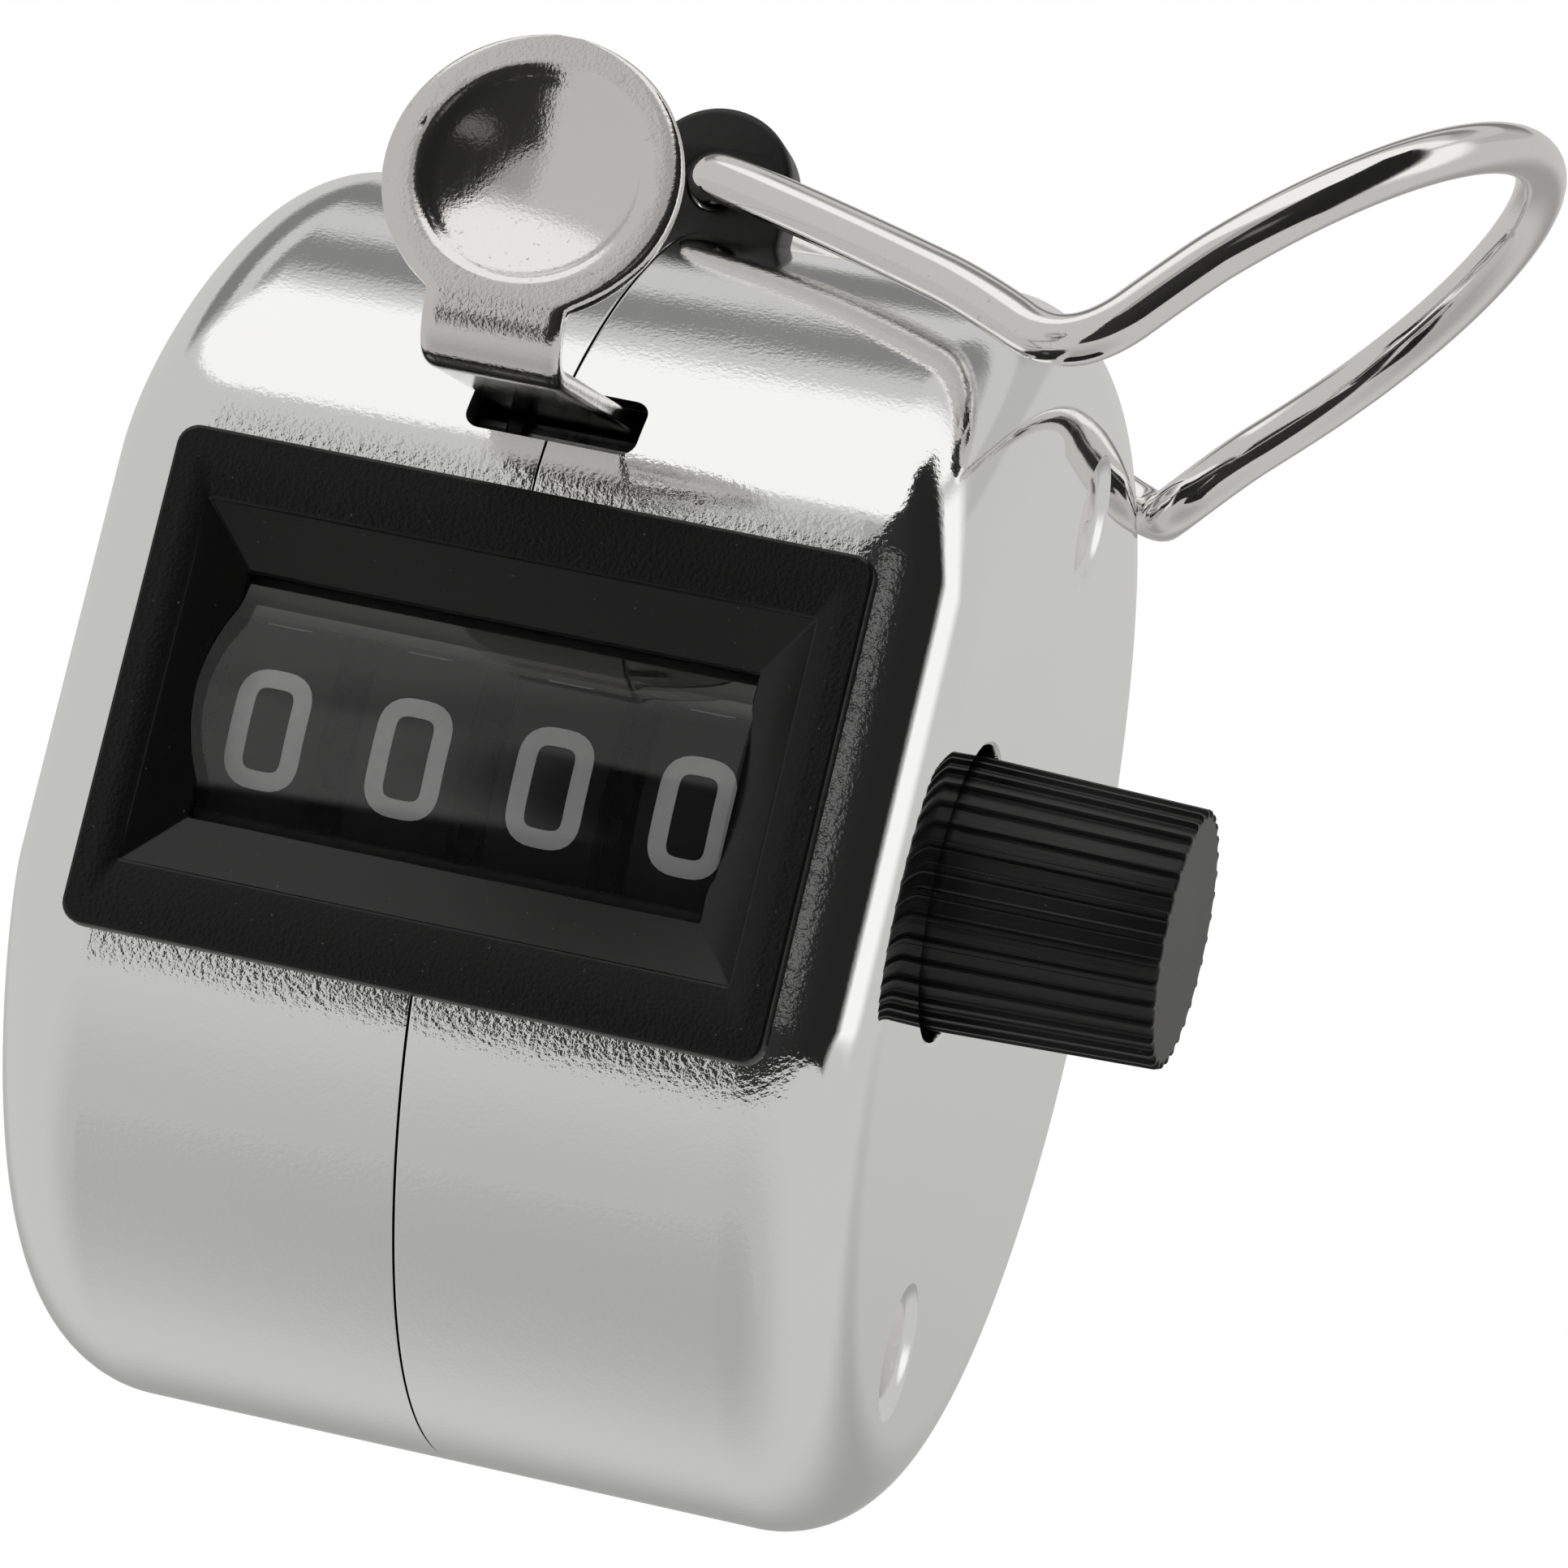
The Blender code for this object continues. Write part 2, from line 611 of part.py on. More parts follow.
def frame_plate(name, side):
    span = sorted((side * PLATE_X, side * (PLATE_X + PLATE_THICKNESS)))
    pinion = polar(GEAR_CENTRES, PINION_SHAFT_ANGLE)
    outline = hull([(LEVER_PIVOT, 1.35), (REAR_POST, 2.2), (pinion, 2.0), (BOTTOM_POST, 2.2)])
    holes = [circle((0, 0), SHAFT_RADIUS + 0.1, 24), circle(LEVER_PIVOT, PIN_RADIUS + 0.05, 16),
             circle(pinion, PINION_SHAFT_RADIUS + 0.05, 16), circle(REAR_POST, 0.7, 12),
             circle(BOTTOM_POST, 0.7, 12)]
    if side > 0:
        holes.append(circle(BACKSTOP_PIVOT, PIN_RADIUS + 0.05, 16))
    return extruded(name, [outline, *holes], span, STEEL)


def frame_post(name, centre):
    end = PLATE_X - 0.05
    post = rod(name, (-end, end), centre, POST_RADIUS, STEEL, segments=16)
    for side in (-1, 1):
        span = sorted((side * (end - 4), side * (end + 1)))
        cut(post, rod(f"bore_{name}_{side}", span, centre, 0.6, segments=12))
    return post


def post_screw(name, side, centre):
    """Slotted cheese-head screw that holds a frame plate to a post."""
    face = PLATE_X + PLATE_THICKNESS + 0.05
    screw = rod(name, sorted((side * face, side * (face + 0.7))), centre, 1.15, STEEL, segments=16)
    shank = sorted((side * (PLATE_X - 3), side * (face + 0.3)))
    join(screw, rod(f"shank_{name}", shank, centre, 0.5, segments=12))
    edge = sorted((side * (face + 0.35), side * (face + 1)))
    cut(screw, box(f"slot_{name}", (edge[0], centre[0] - 0.15, centre[1] - 2),
                   (edge[1], centre[0] + 0.15, centre[1] + 2)))
    return screw


# ---------------------------------------------------------------- lever and pawls

def strip_height(y):
    return STRIP_SLOT_POINT[1] + (y - STRIP_SLOT_POINT[0]) * math.tan(STRIP_SLOPE)


def heading(angle_deg):
    return Vector(polar(1.0, angle_deg))


def lever_centre_line():
    """Middle of the strip seen from the side: flat run, upward bend, crease and neck into the pad."""
    rear = Vector((STRIP_REAR_Y, strip_height(STRIP_REAR_Y)))
    bend_start = Vector((STRIP_BEND_Y, strip_height(STRIP_BEND_Y)))
    first, last = 180 + math.degrees(STRIP_SLOPE), NECK_HEADING
    bend_centre = bend_start + heading(first - 90) * STRIP_BEND_RADIUS
    line = [rear]
    for step in range(7):
        angle = first + (last - first) * step / 6
        line.append(bend_centre - heading(angle - 90) * STRIP_BEND_RADIUS)
    up = Vector((math.sin(PAD_TILT), math.cos(PAD_TILT)))
    middle = Vector(PAD_CENTRE) + Vector((up.y, -up.x)) * PAD_THICKNESS / 2
    return line + [middle - up * NECK_LENGTH, middle - up * (PAD_RADIUS - 1.5)]


def thickened(line, half):
    """Closed outline at an even distance on both sides of a centre line."""
    left, right = [], []
    for index, point in enumerate(line):
        before = (point - line[index - 1]).normalized() if index else None
        after = (line[index + 1] - point).normalized() if index + 1 < len(line) else before
        before = before or after
        middle = (before + after).normalized()
        side = Vector((-middle.y, middle.x)) * half / middle.dot(after)
        left.append(tuple(point + side))
        right.append(tuple(point - side))
    return left + right[::-1]


def lever_pad():
    """Round pad standing on the end of the strip, and the cutter for its shallow dish."""
    place = Matrix.Translation(Vector((0, *PAD_CENTRE)) * MM) @ Matrix.Rotation(-PAD_TILT, 4, "X")
    pad = rod("lever_pad", (0, PAD_THICKNESS), (0, 0), PAD_RADIUS, segments=40)
    pad.matrix_world = place @ Matrix.Rotation(math.radians(90), 4, "Z")
    shape = bmesh.new()
    bmesh.ops.create_uvsphere(shape, u_segments=28, v_segments=20, radius=1.0)
    size = Vector((DISH_RADIUS, DISH_DEPTH, DISH_RADIUS)) * MM
    bmesh.ops.scale(shape, vec=size, verts=shape.verts)
    mesh = bpy.data.meshes.new("dish")
    shape.to_mesh(mesh)
    shape.free()
    dish = add_object("cut_dish", mesh)
    dish.matrix_world = place
    return pad, dish


def thumb_lever():
    """Pressed-steel lever: pad and strip outside, cross bar and pawl arm inside, ears on the pivot pin."""
    half = STRIP_WIDTH / 2
    strip = thickened(lever_centre_line(), STRIP_THICKNESS / 2)
    lever = extruded("thumb_lever", [strip], (-half, half), CHROME)
    pad, dish = lever_pad()
    join(lever, pad)
    cut(lever, dish)
    bar_z = strip_height(STRIP_REAR_Y)
    bar_low = (half - 0.5, STRIP_REAR_Y - 2.0, bar_z - 0.45)
    bar_high = (LEVER_ARM_X[1] - 0.1, STRIP_REAR_Y - 0.1, bar_z + 0.2)
    join(lever, box("lever_cross_bar", bar_low, bar_high))
    hole = circle(LEVER_PIVOT, PIN_RADIUS + 0.05, 16)
    ear = hull([(LEVER_PIVOT, 1.2), ((STRIP_REAR_Y - 0.7, bar_z), 0.35)])
    arm = hull([(LEVER_PIVOT, 1.2), ((STRIP_REAR_Y - 0.7, bar_z), 0.35), (DRIVE_PAWL_PIVOT, 0.9)])
    pawl_hole = circle(DRIVE_PAWL_PIVOT, 0.45, 12)
    join(lever, extruded("lever_ear", [ear, hole], (-half + 0.1, -half + 0.8)))
    join(lever, extruded("lever_arm", [arm, hole, pawl_hole], LEVER_ARM_X))
    return set_origin(lever, (0, *LEVER_PIVOT))


def pawl(name, pivot, nose, hole_radius):
    outline = hull([(pivot, 0.8), (nose, 0.22)], 12)
    return set_origin(extruded(name, [outline, circle(pivot, hole_radius, 12)], RATCHET_X, STEEL),
                      (RATCHET_X[0], *pivot))


def drive_pawl_pin():
    """Shouldered rivet through the lever arm and the pawl."""
    return rod("drive_pawl_pin", (10.3, 12.4), DRIVE_PAWL_PIVOT, 0.4, STEEL, segments=12)


def coil(centre, radius, x_range, turns, per_turn=8):
    """Points of a helix about an axis along X."""
    count = int(turns * per_turn)
    points = []
    for index in range(count + 1):
        share = index / count
        angle = math.tau * turns * share
        points.append((x_range[0] + (x_range[1] - x_range[0]) * share,
                       centre[0] + radius * math.cos(angle), centre[1] + radius * math.sin(angle)))
    return points


def lever_return_spring():
    """Torsion spring round the pivot pin; one leg lies under the case top, the other points at the strip."""
    body = coil(LEVER_PIVOT, 1.15, (-10.5, -4.5), 5)
    first = Vector(body[0]) + Vector((0, 0, 2.0))
    last = Vector(body[-1]) + Vector((0, 0.2, -2.5))
    return wire("lever_return_spring", [first, *body, last], 0.22, SPRING_STEEL)


def hairpin(name, points):
    return wire(name, points, 0.14, SPRING_STEEL)


# ---------------------------------------------------------------- lug and ring

def ring_lug():
    """Tab through the top of the case, held by a foot inside."""
    hole_z = RING_HINGE_Z
    tab = arc((0, hole_z), LUG_RADIUS, 0, 180, 16) + [(-LUG_RADIUS, 20.8), (LUG_RADIUS, 20.8)]
    hole = circle((0, hole_z), LUG_HOLE_RADIUS, 24)
    span = (-LUG_FRONT_Y - LUG_THICKNESS, -LUG_FRONT_Y)
    lug = extruded("ring_lug", [tab, hole], span, BLACK, ALONG_MINUS_Y)
    join(lug, box("lug_foot", (-5, LUG_FRONT_Y - 1.2, 20.2), (5, LUG_FRONT_Y + LUG_THICKNESS + 1.2, 21.3)))
    return lug


def ring_path():
    """Closed centre line of the ring, as (x, y, z) from the hinge point; it passes through the lug on Y."""
    eye = 1.9
    front = [(0.0, 0.0, 0.0), (0.0, -eye, 0.0), (0.7, -eye - 0.9, -0.1)]
    bend_z = -RING_BEND_DROP
    arm_end = Vector((RING_BEND_X - 1.9, -RING_HALF_WIDTH + 1.1, bend_z + 0.75))
    front += [tuple(arm_end), (RING_BEND_X - 0.3, -RING_HALF_WIDTH + 0.2, bend_z + 0.25)]
    loop = []
    straight = RING_OUTER_LENGTH - RING_HALF_WIDTH
    reach = [(1.2, -RING_HALF_WIDTH), (straight, -RING_HALF_WIDTH)]
    reach += [(straight + RING_HALF_WIDTH * math.sin(a), -RING_HALF_WIDTH * math.cos(a))
              for a in (math.pi * step / 18 for step in range(1, 18))]
    reach += [(straight, RING_HALF_WIDTH), (1.2, RING_HALF_WIDTH)]
    for out, across in reach:
        loop.append((RING_BEND_X + out * math.cos(RING_RISE_ANGLE), across,
                     bend_z + out * math.sin(RING_RISE_ANGLE)))
    rear = [(RING_BEND_X, RING_HALF_WIDTH + 0.2, bend_z + 0.3), *RING_REAR_ARM,
            (0.9, eye + 0.9, 0.0), (0.0, eye, 0.0)]
    return front + loop + rear


def finger_ring():
    centre = Vector((0, LUG_FRONT_Y + LUG_THICKNESS / 2, RING_HINGE_Z))
    points = [centre + Vector(point) for point in ring_path()]
    return set_origin(smooth(wire("finger_ring", points, RING_WIRE_RADIUS, CHROME, cyclic=True), 60), centre)


# ---------------------------------------------------------------- assembly

def build_case():
    openings = case_openings()
    smooth(case_half("left_case_half", -1, openings))
    smooth(case_half("right_case_half", 1, openings))
    case_screw("upper_case_screw", 1)
    case_screw("lower_case_screw", -1)
    bezel_frame()
    window_lens()
    ring_lug()
    finger_ring()


def build_frame():
    frame_plate("left_frame_plate", -1)
    frame_plate("right_frame_plate", 1)
    for place, centre in (("rear", REAR_POST), ("bottom", BOTTOM_POST)):
        frame_post(f"{place}_frame_post", centre)
        post_screw(f"{place}_post_screw_left", -1, centre)
        post_screw(f"{place}_post_screw_right", 1, centre)
    end = PLATE_X + PLATE_THICKNESS
    pinion = polar(GEAR_CENTRES, PINION_SHAFT_ANGLE)
    rod("pinion_shaft", (-end, end), pinion, PINION_SHAFT_RADIUS, STEEL, segments=16)
    rod("lever_pivot_pin", (-end, end), LEVER_PIVOT, PIN_RADIUS, STEEL, segments=16)
    rod("backstop_pin", (10.2, end), BACKSTOP_PIVOT, PIN_RADIUS, STEEL, segments=16)


def build_counting_train():
    middle = (len(WHEEL_NAMES) - 1) / 2
    for index, order in enumerate(WHEEL_NAMES):
        x = (index - middle) * WHEEL_PITCH
        number_wheel(f"{order}_wheel", order, x)
        zero_pawl(f"zero_pawl_{order}", x)
        if order != "units":
            transfer_pinion(f"{order}_pinion", x + WHEEL_PITCH / 2)
    reset_shaft()
    reset_knob()
    shaft_clip()
    knob_washer()
    units_ratchet()


def build_lever():
    thumb_lever()
    pawl("drive_pawl", DRIVE_PAWL_PIVOT, DRIVE_PAWL_NOSE, 0.5)
    pawl("backstop_pawl", BACKSTOP_PIVOT, BACKSTOP_NOSE, PIN_RADIUS + 0.05)
    drive_pawl_pin()
    lever_return_spring()
    hairpin("drive_pawl_spring", [(11.35, -7.6, 6.0), (11.35, -7.2, 3.0), (10.9, -6.7, 2.2), (10.9, -6.6, 1.0)])
    hairpin("backstop_spring", [(11.9, 8.6, 3.2), (10.9, 8.3, 4.6), (10.9, 6.4, 4.9), (10.9, 4.4, 4.0)])


def place_origin():
    """Move every piece so that the origin lies on the left side face, on the wheel shaft's axis."""
    for obj in bpy.data.objects:
        obj.location.x += HALF_WIDTH * MM


clear_scene()
COUNTER = make_collection("hand_tally_counter")
CUTTERS = make_collection("cutters")
CHROME = make_material("chrome", (0.80, 0.80, 0.79), 0.08, 1.0)
BLACK = make_material("black_plastic", (0.015, 0.015, 0.016), 0.45, 0.0)
WHEEL_BLACK = make_material("wheel_plastic", (0.03, 0.03, 0.032), 0.4, 0.0)
CLEAR = make_material("clear_lens", (0.9, 0.92, 0.93), 0.05, 0.0, alpha=0.3)
STEEL = make_material("steel", (0.55, 0.55, 0.56), 0.3, 1.0)
SPRING_STEEL = make_material("spring_steel", (0.4, 0.4, 0.42), 0.35, 1.0)
BRASS = make_material("brass", (0.72, 0.53, 0.25), 0.3, 1.0)

build_case()
build_frame()
build_counting_train()
build_lever()
place_origin()
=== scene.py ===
"""Looks for the hand tally counter: chrome case, black window frame, number wheels, lever, knob and ring.

Lengths are in millimetres from the seam between the case halves, on the wheel shaft's axis, as drawn below;
place() turns them into the row frame. The camera looks up at the window from its lower right.
"""
import json
import math

import bmesh
import bpy
from mathutils import Matrix, Vector
from mathutils.geometry import interpolate_bezier


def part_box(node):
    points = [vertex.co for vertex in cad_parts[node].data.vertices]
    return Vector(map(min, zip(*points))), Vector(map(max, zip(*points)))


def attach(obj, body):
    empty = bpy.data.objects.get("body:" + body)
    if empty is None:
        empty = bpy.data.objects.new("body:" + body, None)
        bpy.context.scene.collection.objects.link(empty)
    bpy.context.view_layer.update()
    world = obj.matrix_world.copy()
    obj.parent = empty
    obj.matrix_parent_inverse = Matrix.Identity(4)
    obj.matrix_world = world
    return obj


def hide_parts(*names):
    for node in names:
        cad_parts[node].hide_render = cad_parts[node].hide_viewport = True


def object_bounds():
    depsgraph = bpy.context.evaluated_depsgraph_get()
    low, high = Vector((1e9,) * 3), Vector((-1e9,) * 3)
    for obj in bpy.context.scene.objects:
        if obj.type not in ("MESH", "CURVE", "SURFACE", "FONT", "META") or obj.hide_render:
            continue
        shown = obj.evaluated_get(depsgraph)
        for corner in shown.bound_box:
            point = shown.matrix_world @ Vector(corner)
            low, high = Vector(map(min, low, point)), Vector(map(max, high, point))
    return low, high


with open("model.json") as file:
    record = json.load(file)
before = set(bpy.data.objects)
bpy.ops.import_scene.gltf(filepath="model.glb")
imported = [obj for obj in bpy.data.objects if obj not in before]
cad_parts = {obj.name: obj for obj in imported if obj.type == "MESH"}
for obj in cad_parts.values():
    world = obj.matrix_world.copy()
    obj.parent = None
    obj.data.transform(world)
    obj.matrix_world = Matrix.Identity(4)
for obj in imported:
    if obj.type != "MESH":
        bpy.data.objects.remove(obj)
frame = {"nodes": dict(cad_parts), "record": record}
CAD_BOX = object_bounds()

MM = 0.001
SEAM_X = (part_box("left_case_half")[0].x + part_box("right_case_half")[1].x) / 2

# Case
HALF_WIDTH = 16.5
RIM_RADIUS = 4.3
RIM_SHARE = RIM_RADIUS / 23.2
CASE_CENTRE = Vector((10.6, 0.0))
WALL_SHARE = 1.2 / 23.2
SEAM_HALF_GAP = 0.025
FRONT_Y = -12.1
BEZEL_FRONT_Y = -12.9

# Number wheels
WHEELS = ("thousands", "hundreds", "tens", "units")
WHEEL_PITCH = 5.4
DRUM_RADIUS = 9.9
DRUM_HALF_WIDTH = 2.05
DIGIT_WIDTH = 2.85
DIGIT_HEIGHT = 4.5
DIGIT_STROKE = 0.72
DIGIT_CORNER = 0.85
FIRST_DIGIT_ANGLE = -3.95
LENS_RADIUS = 12.1
LENS_THICKNESS = 0.8
LENS_HALF_ANGLE = 31
SHADE_RADII = (10.6, 10.95)

# Lever
PIVOT = Vector((-7.7, 12.3))
STRIP_SLOPE = 6.0
STRIP_HALF_WIDTH = 2.45
STRIP_HALF_THICKNESS = 0.4
PAD_RADIUS = 5.4
PAD_CENTRE = Vector((-22.96, 18.7))
PAD_TILT = math.radians(9.3)
DISH_RADIUS = 4.15

# Knob, lug and ring
KNOB_X = (14.1, 25.1)
KNOB_RADII = (5.25, 4.9)
KNOB_RIBS = 34
LUG_Y = (4.1, 6.5)
HINGE_Z = 25.65
LUG_RADIUS = 3.0
RING_WIRE_RADIUS = 0.97

# Case screws, seen from the wheel shaft
SCREW_Y = 8.7
SCREW_Z = 16.3
DIMPLE_FLOOR_X = 16.12

# Slightly warm studio light
STUDIO_TINT = (1.0, 0.992, 0.98)


# ---------------------------------------------------------------- mesh helpers

def place(x, y, z):
    return Vector((SEAM_X + x * MM, y * MM, z * MM))


def piece(name, mesh, material, body=None, nodes=(), angle=32.0):
    """Link a mesh as an object; with a body it becomes a piece of the counter."""
    obj = bpy.data.objects.new(name, mesh)
    bpy.context.scene.collection.objects.link(obj)
    mesh.materials.clear()
    for entry in material if isinstance(material, (list, tuple)) else [material]:
        mesh.materials.append(entry)
    mesh.shade_smooth()
    mesh.set_sharp_from_angle(angle=math.radians(angle))
    if body:
        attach(obj, body)
    if nodes:
        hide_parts(*nodes)
    return obj


def weight_normals(obj, weight):
    """Let large faces decide the shading beside small ones."""
    modifier = obj.modifiers.new("normals", "WEIGHTED_NORMAL")
    modifier.keep_sharp = True
    modifier.weight = weight


def to_mesh(shape, name):
    bmesh.ops.remove_doubles(shape, verts=shape.verts, dist=1e-8)
    bmesh.ops.recalc_face_normals(shape, faces=shape.faces)
    mesh = bpy.data.meshes.new(name)
    shape.to_mesh(mesh)
    shape.free()
    return mesh


def loft(name, rings, cyclic=False):
    """Closed skin through rings of equal length; the ends are filled, or joined up when cyclic."""
    shape = bmesh.new()
    grid = [[shape.verts.new(place(*point)) for point in ring] for ring in rings]
    add_skin(shape, grid, cyclic)
    return to_mesh(shape, name)


def add_skin(shape, grid, cyclic):
    count = len(grid[0])
    pairs = list(zip(grid, grid[1:]))
    if cyclic:
        pairs.append((grid[-1], grid[0]))
    for near, far in pairs:
        for index in range(count):
            other = (index + 1) % count
            shape.faces.new((near[index], near[other], far[other], far[index]))
    if not cyclic:
        shape.faces.new(grid[0])
        shape.faces.new(grid[-1])


def lathe(name, profile, steps=96, centre=(0.0, 0.0), closed=True):
    """Turn (x, radius) points about an axis along X. An open profile starts and ends on the axis."""
    shape = bmesh.new()
    rings = []
    for x, radius in profile:
        ring = []
        for step in range(steps):
            angle = math.tau * step / steps
            ring.append(shape.verts.new(place(x, centre[0] + radius * math.cos(angle),
                                              centre[1] + radius * math.sin(angle))))
        rings.append(ring)
    add_skin(shape, rings, closed)
    return to_mesh(shape, name)


def temporary(mesh):
    obj = bpy.data.objects.new(mesh.name, mesh)
    bpy.context.scene.collection.objects.link(obj)
    return obj


def combine(mesh, operation, *tools):
    """Mesh after a boolean with each tool mesh."""
    target = temporary(mesh)
    cutters = [temporary(tool) for tool in tools]
    for cutter in cutters:
        modifier = target.modifiers.new(cutter.name, "BOOLEAN")
        modifier.operation = operation
        modifier.solver = "EXACT"
        modifier.object = cutter
    graph = bpy.context.evaluated_depsgraph_get()
    result = bpy.data.meshes.new_from_object(target.evaluated_get(graph))
    for obj in (target, *cutters):
        bpy.data.objects.remove(obj, do_unlink=True)
    return result


def slab(name, low, high):
    rings = []
    for x in (low[0], high[0]):
        rings.append([(x, low[1], low[2]), (x, high[1], low[2]), (x, high[1], high[2]), (x, low[1], high[2])])
    return loft(name, rings)


def rounded_plate(name, loops, span, edge, axis="X"):
    """Flat outlines given thickness along X or -Y, with rounded edges."""
    curve = bpy.data.curves.new(name, "CURVE")
    curve.dimensions = "2D"
    curve.fill_mode = "BOTH"
    curve.extrude = ((span[1] - span[0]) / 2 - edge) * MM
    curve.bevel_depth = edge * MM
    curve.bevel_resolution = 3
    curve.offset = -edge * MM
    for outline in loops:
        spline = curve.splines.new("POLY")
        spline.points.add(len(outline) - 1)
        for point, (across, up) in zip(spline.points, outline):
            point.co = (across * MM, up * MM, 0, 1)
        spline.use_cyclic_u = True
    obj = bpy.data.objects.new(name, curve)
    bpy.context.scene.collection.objects.link(obj)
    middle = (span[0] + span[1]) / 2
    if axis == "X":
        turn = Matrix(((0, 0, 1, 0), (1, 0, 0, 0), (0, 1, 0, 0), (0, 0, 0, 1)))
        obj.matrix_world = Matrix.Translation(place(middle, 0, 0)) @ turn
    else:
        turn = Matrix(((1, 0, 0, 0), (0, 0, -1, 0), (0, 1, 0, 0), (0, 0, 0, 1)))
        obj.matrix_world = Matrix.Translation(place(0, middle, 0)) @ turn
    bpy.context.view_layer.update()
    graph = bpy.context.evaluated_depsgraph_get()
    mesh = bpy.data.meshes.new_from_object(obj.evaluated_get(graph))
    mesh.transform(obj.matrix_world)
    bpy.data.objects.remove(obj, do_unlink=True)
    shape = bmesh.new()
    shape.from_mesh(mesh)
    bmesh.ops.remove_doubles(shape, verts=shape.verts, dist=2e-6)
    return to_mesh(shape, name)


def arc(centre, radius, start, end, count):
    points = []
    for index in range(count + 1):
        angle = math.radians(start + (end - start) * index / count)
        points.append((centre[0] + radius * math.cos(angle), centre[1] + radius * math.sin(angle)))
    return points


def rounded_rectangle(width, height, radius, count=6, along=6):
    """Outline with subdivided sides, so that rings of different sizes line up."""
    half_w, half_h = width / 2 - radius, height / 2 - radius
    corners = ((half_w, half_h, 0), (-half_w, half_h, 90), (-half_w, -half_h, 180), (half_w, -half_h, 270))
    points = []
    for across, up, start in corners:
        points += arc((across, up), radius, start, start + 90, count)
    full = []
    for index, point in enumerate(points):
        full.append(point)
        following = points[(index + 1) % len(points)]
        if index % (count + 1) == count:
            for step in range(1, along):
                share = step / along
                full.append((point[0] + (following[0] - point[0]) * share,
                             point[1] + (following[1] - point[1]) * share))
    return full


def softened(points, closed, rounds):
    """Corner cutting: each round replaces a corner by two points."""
    for _ in range(rounds):
        result = []
        count = len(points)
        for index in range(count if closed else count - 1):
            here, after = Vector(points[index]), Vector(points[(index + 1) % count])
            result += [here.lerp(after, 0.25), here.lerp(after, 0.75)]
        points = result if closed else [Vector(points[0]), *result, Vector(points[-1])]
    return points


# ---------------------------------------------------------------- shader helpers

class Nodes:
    """Short way to write node trees: each call adds a node and returns its output."""

    def __init__(self, tree):
        self.tree = tree

    def add(self, kind, output=0, **settings):
        node = self.tree.nodes.new(kind)
        inputs = settings.pop("inputs", {})
        for key, value in settings.items():
            setattr(node, key, value)
        for key, value in inputs.items():
            self.feed(node.inputs[key], value)
        return node.outputs[output]

    def feed(self, socket, value):
        if isinstance(value, bpy.types.NodeSocket):
            self.tree.links.new(value, socket)
        else:
            socket.default_value = value

    def math(self, operation, *values):
        return self.add("ShaderNodeMath", operation=operation, inputs=dict(enumerate(values)))

    def ramp(self, value, low, high, start=0.0, end=1.0):
        """Smooth step of a value from low to high."""
        return self.add("ShaderNodeMapRange", interpolation_type="SMOOTHSTEP",
                        inputs={"Value": value, "From Min": low, "From Max": high,
                                "To Min": start, "To Max": end})

    def mix(self, share, first, second):
        node = self.tree.nodes.new("ShaderNodeMix")
        node.data_type = "RGBA"
        self.feed(node.inputs[0], share)
        self.feed(node.inputs[6], first)
        self.feed(node.inputs[7], second)
        return node.outputs[2]

    def blend(self, share, first, second):
        node = self.tree.nodes.new("ShaderNodeMix")
        self.feed(node.inputs[0], share)
        self.feed(node.inputs[2], first)
        self.feed(node.inputs[3], second)
        return node.outputs[0]

    def product(self, first, *others):
        for other in others:
            first = self.math("MULTIPLY", first, other)
        return first

    def band(self, value, rise, fall):
        """One between two soft edges, nought outside them."""
        return self.product(self.ramp(value, *rise), self.ramp(value, *fall, 1.0, 0.0))

    def noise(self, position, size_mm, detail=3.0, roughness=0.55):
        """Noise with features about size_mm across."""
        return self.add("ShaderNodeTexNoise", inputs={"Vector": position, "Scale": 0.5 / (size_mm * MM),
                                                      "Detail": detail, "Roughness": roughness})

    def position(self):
        return self.add("ShaderNodeTexCoord", output=3)

    def stretched(self, position, scale):
        return self.add("ShaderNodeVectorMath", operation="MULTIPLY", inputs={0: position, 1: scale})


def new_material(name):
    material = bpy.data.materials.new(name)
    material.use_nodes = True
    shader = material.node_tree.nodes["Principled BSDF"]
    return material, Nodes(material.node_tree), shader


def colour(value, tint=(1.0, 1.0, 1.0)):
    return (value * tint[0], value * tint[1], value * tint[2], 1.0)


def bump(nodes, height, depth_mm, strength=1.0, after=None):
    inputs = {"Height": height, "Distance": depth_mm * MM, "Strength": strength}
    if after:
        inputs["Normal"] = after
    return nodes.add("ShaderNodeBump", inputs=inputs)


